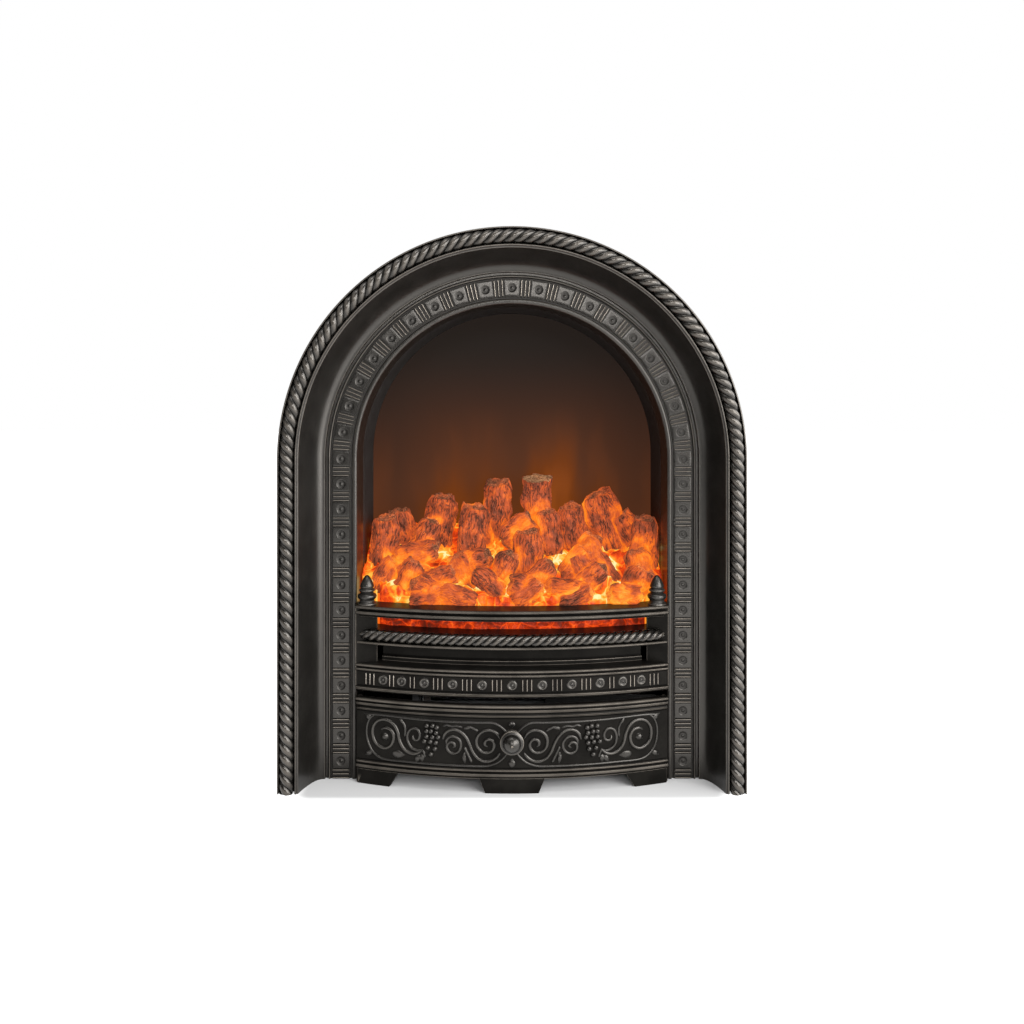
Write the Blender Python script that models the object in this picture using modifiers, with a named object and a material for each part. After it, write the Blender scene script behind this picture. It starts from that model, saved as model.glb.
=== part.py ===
"""Arched electric fireplace insert, modelled at its real size in metres, +Z up, front facing -Y.

The origin is the bottom centre of the object's box. Depths are measured back from the front plane of
the rope moulding, and y_at() turns a depth into a world Y.
"""

import math
import random

import bmesh
import bpy
from mathutils import Matrix, Vector

# Fits between pieces
CLEARANCE = 0.0003
SHEET = 0.0015
SEGMENTS = 12
WELD = 0.00001

# Cast arch, seen from the front
ARCH_CENTRE_Z = 0.3573
OUTER_RADIUS = 0.2525
LIP_WIDTH = 0.0035
ROPE_RADIUS = 0.0075
ROPE_BEAD_WIDTH = 0.0040
COVE_WIDTH = 0.0207
BAND_WIDTH = 0.0353
ROPE_CENTRE_RADIUS = OUTER_RADIUS - LIP_WIDTH - CLEARANCE - ROPE_RADIUS
COVE_RADIUS = ROPE_CENTRE_RADIUS - ROPE_RADIUS - CLEARANCE - ROPE_BEAD_WIDTH
BAND_RADIUS = COVE_RADIUS - COVE_WIDTH
OPENING_RADIUS = BAND_RADIUS - BAND_WIDTH
ARCH_STEPS = 20

# Cast arch, in depth
LIP_DEPTH = 0.0040
COVE_TOP_DEPTH = 0.0080
BAND_DEPTH = 0.0475
CHANNEL_SINK = 0.0020
PLATE_THICKNESS = 0.0055
CAST_WALL = 0.0040
FRAME_DEPTH = 0.0600
RIM_WIDTH = 0.0125
RIM_THICKNESS = 0.0040
LEDGE_WIDTH = 0.0077
REVEAL_DEPTH = 0.0965
REVEAL_WALL = 0.0030
CHANNEL_DEPTH = BAND_DEPTH + CHANNEL_SINK
PLATE_BACK_DEPTH = BAND_DEPTH + PLATE_THICKNESS
LEDGE_DEPTH = PLATE_BACK_DEPTH + CLEARANCE
LEDGE_BACK_DEPTH = LEDGE_DEPTH + CAST_WALL

# Rope moulding, a twist of four strands
ROPE_STRANDS = 4
ROPE_LOBES = 132
ROPE_TURN = math.radians(60)

# Studded band
STUD_ANGLE = math.radians(9)
STUDS_PER_LEG = 12
STUD_PITCH = 0.0281
BAND_EDGE_GAP = 0.0075
STRIP_THICKNESS = 0.0010
BAR_MARGIN = 0.0020
BAR_GROUP = 0.0096
BAR_HEIGHT = 0.0012
STUD_RADIUS = 0.0060
STUD_HEIGHT = 0.0040
SINK = 0.0004

# Bowed front of the grate and the ash pan cover, in plan
BOW_END_DEPTH = 0.0356
BOW_CENTRE_DEPTH = 0.0035
BOW_SPARE = 0.0150
BOW_STEPS = 10
FRET_HALF_WIDTH = OPENING_RADIUS - CLEARANCE
COVER_SIDE_GAP = 0.0009
COVER_HALF_WIDTH = OPENING_RADIUS - COVER_SIDE_GAP
BOW_SAGITTA = BOW_END_DEPTH - BOW_CENTRE_DEPTH
BOW_RADIUS = (OPENING_RADIUS**2 + BOW_SAGITTA**2) / (2 * BOW_SAGITTA)

# Grate front, heights of its rails
TOP_RAIL_TOP = 0.1960
TOP_RAIL_HEIGHT = 0.0120
TOP_RAIL_WIDTH = 0.0300
TOP_RAIL_SHELF = 0.0060
ROPE_RAIL_TOP = 0.1695
ROPE_RAIL_BOTTOM = 0.1540
ROPE_RAIL_WIDTH = 0.0340
RAIL_ROPE_RADIUS = 0.0062
RAIL_ROPE_LOBES = 38
STUD_RAIL_TOP = 0.1326
STUD_RAIL_BOTTOM = 0.1026
STUD_RAIL_WIDTH = 0.0260
STUD_RAIL_WALL = 0.0060
RAIL_STUD_PLACES = (0.0, 0.0326, 0.0649, 0.0965, 0.1225, 0.1444)
RAIL_STUD_RADIUS = 0.0040
RAIL_STUD_HEIGHT = 0.0022
RAIL_BAR_ROOM = 0.0300
CHEEK_WIDTH = 0.0196
CHEEK_WALL = 0.0040
CHEEK_SLOPE = 0.0078
CHEEK_RETURN_DEPTH = 0.0640
CHEEK_RETURN_WALL = 0.0030

# Slotted plate behind the middle rail, where the warm air leaves
DEFLECTOR_SLOTS = 10
DEFLECTOR_SLOT_PITCH = 0.0270
DEFLECTOR_SLOT_WIDTH = 0.0200
DEFLECTOR_SLOT_LIFT = 0.0100
DEFLECTOR_SLOT_HEIGHT = 0.0090

# Finials on the top rail
FINIAL_INSET = 0.0119
FINIAL_X = FRET_HALF_WIDTH - FINIAL_INSET
FINIAL_DEPTH = BOW_END_DEPTH + 0.0084
FINIAL_HEIGHT = 0.0320
FINIAL_RADIUS = 0.0094
FINIAL_PIN_RADIUS = 0.0025
FINIAL_PIN_LENGTH = 0.0050

# Ash pan cover, with its knob
COVER_TOP = 0.0951
COVER_WALL = 0.0050
COVER_PANEL_SINK = 0.0035
COVER_PANEL_TOP = 0.0805
COVER_PANEL_BOTTOM = 0.0290
SKIRT_TOP = 0.0200
SKIRT_BOTTOM = 0.0155
COVER_RETURN_DEPTH = 0.0560
COVER_RETURN_WALL = 0.0035
SIDE_FOOT_WIDTH = 0.0379
SIDE_FOOT_INNER_X = COVER_HALF_WIDTH - SIDE_FOOT_WIDTH
CENTRE_FOOT_HALF = 0.0290
FOOT_TAPER = 0.0090
KNOB_Z = 0.0590
KNOB_REACH = 0.0230
KNOB_BASE_RADIUS = 0.0130
KNOB_DOME_RADIUS = 0.0088
KNOB_STEM_RADIUS = 0.0025
KNOB_NUT_RADIUS = 0.0050
KNOB_NUT_HEIGHT = 0.0035
COVER_TRAVEL = 0.0800

# Steel case
CASE_SETBACK = 0.0097
CASE_RADIUS = BAND_RADIUS - CASE_SETBACK
CASE_BACK_DEPTH = 0.2177
CASE_BOTTOM = 0.0080
CASE_FLANGE = 0.0130
CASE_FRONT_LIP = 0.0130
CASE_FRONT_RADIUS = CASE_RADIUS + CASE_FRONT_LIP
CASE_FRONT_OPENING = OPENING_RADIUS + REVEAL_WALL + 0.0013
BASE_THICKNESS = 0.0020
FOOT_RADIUS = 0.0090
FOOT_INSET = 0.0290
FOOT_X = CASE_RADIUS - FOOT_INSET
FOOT_DEPTHS = (REVEAL_DEPTH + 0.0185, CASE_BACK_DEPTH - 0.0227)
CASE_FRONT_DEPTH = LEDGE_BACK_DEPTH + CLEARANCE
CASE_SHELL_DEPTH = CASE_FRONT_DEPTH + SHEET + CLEARANCE
CASE_INNER_RADIUS = CASE_RADIUS - SHEET
REAR_COVER_DEPTH = CASE_BACK_DEPTH + CLEARANCE
REAR_FACE_DEPTH = REAR_COVER_DEPTH + SHEET
BASE_TOP = CASE_BOTTOM + BASE_THICKNESS
LOUVRE_WIDTH = 0.0600
LOUVRE_HEIGHT = 0.0040
LOUVRE_PITCH = 0.0110

# Screws
SCREW_RADIUS = 0.0020
SCREW_HEAD_RADIUS = 0.0042
SCREW_HEAD = 0.0023
REAR_SCREW_LENGTH = 0.0080
FRAME_SCREW_RING = BAND_RADIUS - LEDGE_WIDTH / 2
FRAME_SCREW_ANGLE = math.radians(48)
FRAME_SCREW_Z = 0.1100
REAR_SCREW_ANGLE = math.radians(40)
REAR_SCREW_Z = 0.0700
FRET_SCREW_Z = 0.1440

# Chamber above the deck
DECK_TOP = 0.1495
FLAME_SPACE = 0.0367
SCREEN_DEPTH = CASE_BACK_DEPTH - FLAME_SPACE
SCREEN_THICKNESS = 0.0030
MASK_GAP = 0.0025
MASK_THICKNESS = 0.0010
MASK_HEIGHT = 0.1350
FLAME_LIFT = 0.0300
FLAME_PITCH = 0.0520
FLAME_WIDTH = 0.0440
FLAME_HEIGHTS = (0.0720, 0.0900, 0.0800, 0.0950, 0.0760)
LINER_WALL = 0.0015
DECK_BACK_DEPTH = CASE_BACK_DEPTH - SHEET - CLEARANCE
FLOOR_OF_CHAMBER = DECK_TOP + CLEARANCE

# Fuel bed and its loose logs
BED_SETBACK = 0.0360
BED_CHEEK_GAP = 0.0035
BED_SIDE_X = FRET_HALF_WIDTH - CHEEK_WIDTH - BED_CHEEK_GAP
BED_WALL_GAP = 0.0012
BED_HALF = OPENING_RADIUS - BED_WALL_GAP
BED_STEP_DEPTH = 0.0745
BED_FRONT_TOP = 0.1960
BED_RISE = 0.5
BED_LUMP = 0.0030
BED_WAVE_X = 0.0661
BED_WAVE_DEPTH = 0.0524
LIGHT_CAVITY_TOP = 0.1850
LIGHT_CAVITY_X = BED_SIDE_X - 0.0100
LIGHT_CAVITY_DEPTHS = (BED_STEP_DEPTH + 0.0005, SCREEN_DEPTH - 0.0160)
UPPER_CAVITY_TOP = 0.2200
UPPER_CAVITY_X = LIGHT_CAVITY_X - 0.0150
UPPER_CAVITY_DEPTHS = (BED_STEP_DEPTH + 0.0435, SCREEN_DEPTH - 0.0160)
LOG_RADIUS = 0.0160
LOG_SIDES = 7

# Flame effect behind the screen, and the lamps
FLAME_BOARD_DEPTHS = (SCREEN_DEPTH + 0.0070, SCREEN_DEPTH + 0.0105)
SPINNER_DEPTH = CASE_BACK_DEPTH - 0.0172
SPINNER_Z = 0.1850
SPINNER_HALF = BED_SIDE_X - 0.0020
FLAME_BOARD_HALF = SPINNER_HALF - 0.0080
SPINNER_ROD_RADIUS = 0.0020
FLAG_REACH = 0.0105
FLAGS = 6
BRACKET_X = SPINNER_HALF + 0.0040
BRACKET_HALF = 0.0085
MOTOR_SOCKET = 0.0030
SPINNER_MOTOR_RADIUS = 0.0140
SPINNER_MOTOR_LENGTH = 0.0180
BOARD_THICKNESS = 0.0016
LAMP_SIZE = 0.0050
LAMP_HEIGHT = 0.0018

# Fan heater under the deck, behind the control panel
PANEL_DEPTH = 0.0680
DUCT_GAP = 0.0170
DUCT_SIDE_ROOM = 0.0840
DUCT_HALF = CASE_RADIUS - DUCT_SIDE_ROOM
DUCT_FRONT_DEPTH = PANEL_DEPTH + DUCT_GAP
DUCT_LENGTH = 0.1000
DUCT_BACK_DEPTH = DUCT_FRONT_DEPTH + DUCT_LENGTH
DUCT_TOP = 0.1150
DUCT_LIP = 0.0080
INLET_BOTTOM = 0.0260
INLET_LIP = 0.0200
FAN_SETBACK = 0.0550
FAN_DEPTH = DUCT_FRONT_DEPTH + FAN_SETBACK
FAN_Z = 0.0560
FAN_RADIUS = 0.0300
FAN_END_GAP = 0.0100
FAN_HALF = DUCT_HALF - FAN_END_GAP
FAN_BLADES = 10
FAN_SHAFT_RADIUS = 0.0030
FAN_MOTOR_RADIUS = 0.0240
FAN_MOTOR_LENGTH = 0.0380
MOTOR_CORE_INSET = 0.0100
MOTOR_CORE_LENGTH = 0.0140
MOTOR_CORE_HALF = 0.0290
OUTLET_BOTTOM = 0.0760
OUTLET_LIP = 0.0060
COIL_SETBACK = 0.0140
COIL_DEPTH = DUCT_FRONT_DEPTH + COIL_SETBACK
COIL_RADIUS = 0.0022
EMBER_BOARD_HALF = FAN_HALF
EMBER_BOARD_DEPTHS = (DUCT_FRONT_DEPTH + 0.0150, DUCT_FRONT_DEPTH + 0.0450)
CUTOUT_X = DUCT_HALF - 0.0250
CUTOUT_DEPTH = DUCT_BACK_DEPTH - 0.0200

# Controls behind the ash pan cover
PANEL_FOOT = 0.0150
PANEL_LEFT = 0.0380
PANEL_RIGHT = FRET_HALF_WIDTH - 0.0091
PANEL_TOP = 0.0880
ROCKER_WIDTH = 0.0120
ROCKER_HEIGHT = 0.0200
ROCKER_DEPTH = 0.0100
ROCKER_TILT = math.radians(10)
ROCKER_Z = 0.0620
ROCKER_X = (0.0560, 0.0760, 0.0960)
DIAL_X = 0.1320
DIAL_RADIUS = 0.0120
DIAL_LENGTH = 0.0110

# Cable entry
GLAND_X = -CASE_RADIUS + 0.0490
GLAND_Z = 0.0450
GLAND_NECK_RADIUS = 0.0070
GLAND_BORE_RADIUS = 0.0040
GLAND_FLANGE_RADIUS = 0.0105
GLAND_FLANGE = 0.0020

# Terminal block on the base plate
TERMINAL_SIZE = (0.0300, 0.0160)
TERMINAL_HEIGHT = 0.0090
TERMINAL_TOWER = (0.0072, 0.0120, 0.0060)
TERMINAL_PITCH = 0.0100
TERMINAL_FROM_BACK = 0.0397

# Place of the front plane, so that the origin is mid-way between the knob's tip and the screw heads
BACK_REACH = REAR_FACE_DEPTH + CLEARANCE + SCREW_HEAD
FRONT_REACH = KNOB_REACH - BOW_CENTRE_DEPTH
FRONT_Y = (FRONT_REACH - BACK_REACH) / 2

COLLECTION = "electric_fireplace_insert"
MATERIALS = {}
LOOKS = {
    "cast_black": ((0.028, 0.026, 0.024), 0.42, 0.7),
    "cast_matt": ((0.020, 0.019, 0.018), 0.60, 0.3),
    "sheet_black": ((0.015, 0.015, 0.015), 0.65, 0.2),
    "bare_steel": ((0.45, 0.45, 0.46), 0.35, 1.0),
    "screw_black": ((0.05, 0.05, 0.05), 0.40, 0.9),
    "rubber": ((0.02, 0.02, 0.02), 0.90, 0.0),
    "screen": ((0.30, 0.16, 0.08), 0.35, 0.0),
    "ember": ((0.80, 0.22, 0.05), 0.80, 0.0),
    "bark": ((0.36, 0.16, 0.09), 0.90, 0.0),
    "board": ((0.03, 0.16, 0.08), 0.50, 0.0),
    "white_plastic": ((0.75, 0.74, 0.70), 0.45, 0.0),
    "black_plastic": ((0.03, 0.03, 0.03), 0.40, 0.0),
    "resistance_wire": ((0.30, 0.28, 0.26), 0.45, 1.0),
    "aluminium": ((0.62, 0.62, 0.64), 0.30, 1.0),
}


def y_at(depth):
    """World Y of a depth behind the front plane."""
    return FRONT_Y + depth


def material(look):
    """The material of that look, made once."""
    if look not in MATERIALS:
        colour, roughness, metallic = LOOKS[look]
        made = bpy.data.materials.new(look)
        made.use_nodes = True
        shader = made.node_tree.nodes["Principled BSDF"]
        shader.inputs["Base Color"].default_value = (*colour, 1.0)
        shader.inputs["Roughness"].default_value = roughness
        shader.inputs["Metallic"].default_value = metallic
        MATERIALS[look] = made
    return MATERIALS[look]


def clear_scene():
    for obj in list(bpy.data.objects):
        bpy.data.objects.remove(obj)


def part_collection():
    found = bpy.data.collections.get(COLLECTION)
    if found is None:
        found = bpy.data.collections.new(COLLECTION)
        bpy.context.scene.collection.children.link(found)
    return found


def link(name, data, look=None):
    """A new object in the part's collection."""
    obj = bpy.data.objects.new(name, data)
    part_collection().objects.link(obj)
    if look:
        obj.data.materials.clear()
        obj.data.materials.append(material(look))
    return obj


def finish(obj, smooth_angle=35):
    """Round faces shaded smooth, sharp edges kept."""
    obj.data.shade_smooth()
    obj.data.set_sharp_from_angle(angle=math.radians(smooth_angle))
    return obj


def object_from_bmesh(name, bm, look):
    mesh = bpy.data.meshes.new(name)
    bm.to_mesh(mesh)
    bm.free()
    return link(name, mesh, look)


def weld(mesh):
    """Joins the points that lie on each other and turns the faces outwards."""
    bm = bmesh.new()
    bm.from_mesh(mesh)
    bmesh.ops.remove_doubles(bm, verts=bm.verts, dist=WELD)
    bmesh.ops.recalc_face_normals(bm, faces=bm.faces)
    if bm.calc_volume(signed=True) < 0:
        bmesh.ops.reverse_faces(bm, faces=bm.faces)
    bm.to_mesh(mesh)
    bm.free()


def evaluated_mesh(obj):
    """The mesh of an object after its modifiers. A curve's caps are welded to its sides."""
    bpy.context.view_layer.update()
    graph = bpy.context.evaluated_depsgraph_get()
    mesh = bpy.data.meshes.new_from_object(obj.evaluated_get(graph))
    if obj.type == "CURVE":
        weld(mesh)
    return mesh


def settle(obj):
    """Applies an object's modifiers, or turns a curve into a mesh object of the same name and place."""
    look = obj.data.materials[0].name if obj.data.materials else None
    name, world = obj.name, obj.matrix_world.copy()
    mesh = evaluated_mesh(obj)
    bpy.data.objects.remove(obj)
    settled = link(name, mesh, look)
    settled.name = name
    settled.matrix_world = world
    return settled


def combine(target, tool, operation):
    """target joined with, cut by or kept inside tool, which is used up."""
    name = target.name
    step = target.modifiers.new(operation.lower(), "BOOLEAN")
    step.operation = operation
    step.solver = "MANIFOLD"
    step.object = tool
    result = settle(target)
    bpy.data.objects.remove(tool)
    result.name = name
    return result


def joined(target, *tools):
    for tool in tools:
        target = combine(target, tool, "UNION")
    return target


def cut(target, *tools):
    for tool in tools:
        target = combine(target, tool, "DIFFERENCE")
    return target


def box(name, look, x, depth, z):
    """A box between two x, two depths and two heights."""
    size = Vector((x[1] - x[0], depth[1] - depth[0], z[1] - z[0]))
    centre = Vector(((x[0] + x[1]) / 2, y_at((depth[0] + depth[1]) / 2), (z[0] + z[1]) / 2))
    bm = bmesh.new()
    bmesh.ops.create_cube(bm, size=1.0, matrix=Matrix.Translation(centre) @ Matrix.Diagonal((*size, 1.0)))
    return object_from_bmesh(name, bm, look)


def boxes(name, look, cells):
    """One object of several boxes that stand apart."""
    bm = bmesh.new()
    for x, depth, z in cells:
        size = Vector((x[1] - x[0], depth[1] - depth[0], z[1] - z[0]))
        centre = Vector(((x[0] + x[1]) / 2, y_at((depth[0] + depth[1]) / 2), (z[0] + z[1]) / 2))
        bmesh.ops.create_cube(bm, size=1.0, matrix=Matrix.Translation(centre) @ Matrix.Diagonal((*size, 1.0)))
    return object_from_bmesh(name, bm, look)


AXIS_TURNS = {
    "x": Matrix.Rotation(math.radians(90), 4, "Y"),
    "y": Matrix.Rotation(math.radians(90), 4, "X"),
    "z": Matrix.Identity(4),
}


def rod(name, look, radius, length, axis, centre, segments=SEGMENTS):
    """A cylinder centred at a world point, along x, y or z."""
    bm = bmesh.new()
    bmesh.ops.create_cone(
        bm,
        cap_ends=True,
        segments=segments,
        radius1=radius,
        radius2=radius,
        depth=length,
        matrix=Matrix.Translation(centre) @ AXIS_TURNS[axis],
    )
    return object_from_bmesh(name, bm, look)


def turned(name, look, profile, place, axis="z", steps=SEGMENTS):
    """A turned piece from a (radius, height) profile down its outer side. Axis y points its top to the front."""
    mesh = bpy.data.meshes.new(name)
    points = [(radius, 0.0, height) for radius, height in profile]
    mesh.from_pydata(points, [(i, i + 1) for i in range(len(points) - 1)], [])
    obj = link(name, mesh, look)
    screw = obj.modifiers.new("turn", "SCREW")
    screw.steps = steps
    screw.render_steps = steps
    screw.use_merge_vertices = True
    screw.merge_threshold = 0.00002
    obj.matrix_world = Matrix.Translation(place) @ AXIS_TURNS[axis]
    made = settle(obj)
    if profile[0] == profile[-1]:
        weld(made.data)
    return finish(made)


def poly_curve(name, points, cyclic=False, tilts=None):
    """A curve object of straight pieces through these points."""
    data = bpy.data.curves.new(name, "CURVE")
    data.dimensions = "3D"
    data.twist_mode = "MINIMUM"
    spline = data.splines.new("POLY")
    spline.points.add(len(points) - 1)
    for i, point in enumerate(points):
        spline.points[i].co = (*point, 1.0)
        if tilts:
            spline.points[i].tilt = tilts[i]
    spline.use_cyclic_u = cyclic
    return link(name, data)


def swept(name, look, path, section, tilts=None):
    """A closed section carried along a path, with its ends capped."""
    outline = poly_curve(name + "_section", [(x, y, 0.0) for x, y in section], cyclic=True)
    rail = poly_curve(name, path, tilts=tilts)
    rail.data.materials.append(material(look))
    rail.data.bevel_mode = "OBJECT"
    rail.data.bevel_object = outline
    rail.data.use_fill_caps = True
    result = settle(rail)
    bpy.data.objects.remove(outline)
    return result


def plate(name, look, outline, thickness, holes=()):
    """A flat outline in its own XY plane, filled and given a thickness, centred on that plane."""
    data = bpy.data.curves.new(name, "CURVE")
    data.dimensions = "2D"
    data.fill_mode = "BOTH"
    data.extrude = thickness / 2
    for ring in (outline, *holes):
        spline = data.splines.new("POLY")
        spline.points.add(len(ring) - 1)
        for i, (x, y) in enumerate(ring):
            spline.points[i].co = (x, y, 0.0, 1.0)
        spline.use_cyclic_u = True
    return settle(link(name, data, look))


def lying_plate(name, look, outline, z, holes=()):
    """A plate whose outline is (x, depth), between two heights."""
    def to_plan(ring):
        return [(x, y_at(depth)) for x, depth in ring]

    made = plate(name, look, to_plan(outline), z[1] - z[0], [to_plan(h) for h in holes])
    made.data.transform(Matrix.Translation((0, 0, (z[0] + z[1]) / 2)))
    return made


def standing_plate(name, look, outline, depth, holes=()):
    """A plate whose outline is (x, z), between two depths."""
    made = plate(name, look, outline, depth[1] - depth[0], holes)
    made.data.transform(
        Matrix.Translation((0, y_at((depth[0] + depth[1]) / 2), 0)) @ AXIS_TURNS["y"]
    )
    return made


def arch_point(radius, along, depth):
    """A point on the arch line of a radius, by its angle from the left springing, 0 to pi."""
    return (-radius * math.cos(along), y_at(depth), ARCH_CENTRE_Z + radius * math.sin(along))


def arch_path(radius, depth, bottom=0.0):
    """Up the left leg, over the arch and down the right leg."""
    over = [arch_point(radius, math.pi * i / ARCH_STEPS, depth) for i in range(ARCH_STEPS + 1)]
    return [(-radius, y_at(depth), bottom), *over, (radius, y_at(depth), bottom)]


def arch_sweep(name, look, section, bottom=0.0):
    """A section of (radius, depth) points carried round the arch."""
    radius = section[0][0]
    local = [(radius - r, -d) for r, d in section]
    return swept(name, look, arch_path(radius, 0.0, bottom), local)


def arch_outline(radius, bottom, steps=ARCH_STEPS):
    """An arched outline, (x, z), closed along its bottom."""
    over = [
        (-radius * math.cos(math.pi * i / steps), ARCH_CENTRE_Z + radius * math.sin(math.pi * i / steps))
        for i in range(steps + 1)
    ]
    return [(-radius, bottom), *over, (radius, bottom)]


def evenly(path, count):
    """count + 1 points evenly spaced along a path of straight pieces."""
    corners = [Vector(p) for p in path]
    lengths = [(b - a).length for a, b in zip(corners, corners[1:], strict=False)]
    total, points, piece, before = sum(lengths), [], 0, 0.0
    for i in range(count + 1):
        gone = total * i / count
        while piece < len(lengths) - 1 and gone > before + lengths[piece]:
            before += lengths[piece]
            piece += 1
        share = min(1.0, (gone - before) / lengths[piece])
        points.append(tuple(corners[piece].lerp(corners[piece + 1], share)))
    return points


def bow_depth(x, setback=0.0):
    """Depth of the bowed front, or of a bow behind it, at an x."""
    radius = BOW_RADIUS - setback
    return BOW_CENTRE_DEPTH + setback + radius - math.sqrt(radius**2 - x**2)


def bow_path(half_width, steps=BOW_STEPS, setback=0.0, z=0.0):
    """Points from left to right along the bow."""
    radius = BOW_RADIUS - setback
    reach = math.asin(half_width / radius)
    centre_depth = BOW_CENTRE_DEPTH + BOW_RADIUS
    points = []
    for i in range(steps + 1):
        angle = -reach + 2 * reach * i / steps
        points.append((radius * math.sin(angle), y_at(centre_depth - radius * math.cos(angle)), z))
    return points


def bow_sweep(name, look, section, half_width):
    """A section of (forward, height) points carried along the bow and trimmed to a width."""
    bar = swept(name, look, bow_path(half_width + BOW_SPARE), section)
    deep, tall = (-CASE_BACK_DEPTH, CASE_BACK_DEPTH), (-OUTER_RADIUS, OUTER_RADIUS)
    trim = box(name + "_trim", look, (-half_width, half_width), deep, tall)
    return combine(bar, trim, "INTERSECT")


def twist_section(radius, strands):
    """One corner for each strand, so that the turning section draws the strands as ridges."""
    return [
        (radius * math.cos(math.tau * i / strands), radius * math.sin(math.tau * i / strands))
        for i in range(strands)
    ]


def outer_arch():
    """The rope-edged cove casting: a hollow shell with a flat rim against the wall."""
    sides = 5
    around = (ROPE_RADIUS + CLEARANCE) / math.cos(math.pi / sides / 2)
    trough = [
        (
            ROPE_CENTRE_RADIUS + around * math.cos(math.pi * i / sides),
            ROPE_RADIUS + around * math.sin(math.pi * i / sides),
        )
        for i in range(sides + 1)
    ]
    cove_drop = BAND_DEPTH - COVE_TOP_DEPTH
    cove = [
        (
            BAND_RADIUS + COVE_WIDTH * math.cos(math.radians(a)),
            COVE_TOP_DEPTH + cove_drop * math.sin(math.radians(a)),
        )
        for a in range(0, 91, 18)
    ]
    cove_back = [
        (
            BAND_RADIUS + (COVE_WIDTH + CAST_WALL) * math.cos(math.radians(a)),
            COVE_TOP_DEPTH + (cove_drop + CAST_WALL) * math.sin(math.radians(a)),
        )
        for a in (80, 55, 30)
    ]
    under_rope = ROPE_RADIUS + around + CAST_WALL
    section = [
        (OUTER_RADIUS, FRAME_DEPTH),
        (OUTER_RADIUS, LIP_DEPTH + 0.0012),
        (OUTER_RADIUS - 0.0012, LIP_DEPTH),
        (trough[0][0], LIP_DEPTH),
        *trough,
        (trough[-1][0], LIP_DEPTH),
        (COVE_RADIUS + 0.0010, LIP_DEPTH),
        *cove,
        (BAND_RADIUS, LEDGE_DEPTH),
        (BAND_RADIUS - LEDGE_WIDTH, LEDGE_DEPTH),
        (BAND_RADIUS - LEDGE_WIDTH, LEDGE_BACK_DEPTH),
        (cove_back[0][0], LEDGE_BACK_DEPTH),
        *cove_back[1:],
        (cove_back[-1][0] + 0.0010, under_rope),
        (OUTER_RADIUS - CAST_WALL, under_rope),
        (OUTER_RADIUS - CAST_WALL, FRAME_DEPTH - RIM_THICKNESS),
        (OUTER_RADIUS - RIM_WIDTH, FRAME_DEPTH - RIM_THICKNESS),
        (OUTER_RADIUS - RIM_WIDTH, FRAME_DEPTH),
    ]
    casting = arch_sweep("outer_arch", "cast_black", section)
    holes = frame_screw_rods("outer_arch_holes", SCREW_RADIUS + CLEARANCE, LEDGE_DEPTH - 0.002, 0.02)
    return finish(cut(casting, *holes))


def inner_arch():
    """The flat arch that carries the studded band, with its deep reveal into the chamber."""
    outer = BAND_RADIUS - CLEARANCE
    inner = OPENING_RADIUS
    section = [
        (outer, PLATE_BACK_DEPTH),
        (outer, CHANNEL_DEPTH),
        (outer - 0.0020, CHANNEL_DEPTH),
        (outer - 0.0025, BAND_DEPTH),
        (outer - 0.0042, BAND_DEPTH),
        (outer - 0.0048, CHANNEL_DEPTH),
        (inner + 0.0063, CHANNEL_DEPTH),
        (inner + 0.0058, BAND_DEPTH),
        (inner + 0.0045, BAND_DEPTH),
        (inner + 0.0040, BAND_DEPTH + 0.0015),
        (inner + 0.0030, BAND_DEPTH + 0.0005),
        (inner + 0.0010, BAND_DEPTH + 0.0005),
        (inner, BAND_DEPTH + 0.0015),
        (inner, REVEAL_DEPTH),
        (inner + REVEAL_WALL, REVEAL_DEPTH),
        (inner + REVEAL_WALL, PLATE_BACK_DEPTH),
    ]
    casting = arch_sweep("inner_arch", "cast_black", section)
    tapped = frame_screw_rods(
        "inner_arch_taps", SCREW_RADIUS + CLEARANCE, PLATE_BACK_DEPTH - 0.0025, 0.02
    )
    side_holes = fret_screw_rods("inner_arch_side", SCREW_RADIUS + CLEARANCE)
    return finish(cut(casting, *tapped, *side_holes))


def rope_moulding():
    """The twisted rope in the trough of the outer arch."""
    lobe_turn = math.tau / ROPE_STRANDS
    count = round(ROPE_LOBES * lobe_turn / ROPE_TURN)
    path = evenly(arch_path(ROPE_CENTRE_RADIUS, ROPE_RADIUS, CLEARANCE), count)
    tilts = [-ROPE_TURN * i for i in range(count + 1)]
    section = twist_section(ROPE_RADIUS, ROPE_STRANDS)
    return finish(swept("rope_moulding", "cast_black", path, section, tilts), 60)


def stud_places():
    """(place, turn about Y, pitch after it) of each stud, from the left foot to the right foot."""
    radius = (BAND_RADIUS + OPENING_RADIUS) / 2 - 0.0003
    legs = [STUD_PITCH * i for i in range(STUDS_PER_LEG, 0, -1)]
    over = round(math.pi / STUD_ANGLE)
    places = [(-radius, ARCH_CENTRE_Z - drop, 0.0) for drop in legs]
    places += [
        (
            -radius * math.cos(STUD_ANGLE * i),
            ARCH_CENTRE_Z + radius * math.sin(STUD_ANGLE * i),
            STUD_ANGLE * i,
        )
        for i in range(over + 1)
    ]
    places += [(radius, ARCH_CENTRE_Z - drop, math.pi) for drop in reversed(legs)]
    return places


def along_band(x, z, turn, depth):
    """Frame on the band: local X along the band, local Y across it, local Z to the front."""
    to_front = Matrix.Rotation(math.radians(90), 4, "X")
    around = Matrix.Rotation(math.radians(90) - turn, 4, "Z")
    return Matrix.Translation((x, y_at(depth), z)) @ to_front @ around


def add_block(bm, frame, size, centre_height):
    """A block standing on a local frame."""
    place = frame @ Matrix.Translation((0, 0, centre_height)) @ Matrix.Diagonal((*size, 1.0))
    bmesh.ops.create_cube(bm, size=1.0, matrix=place)


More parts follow.
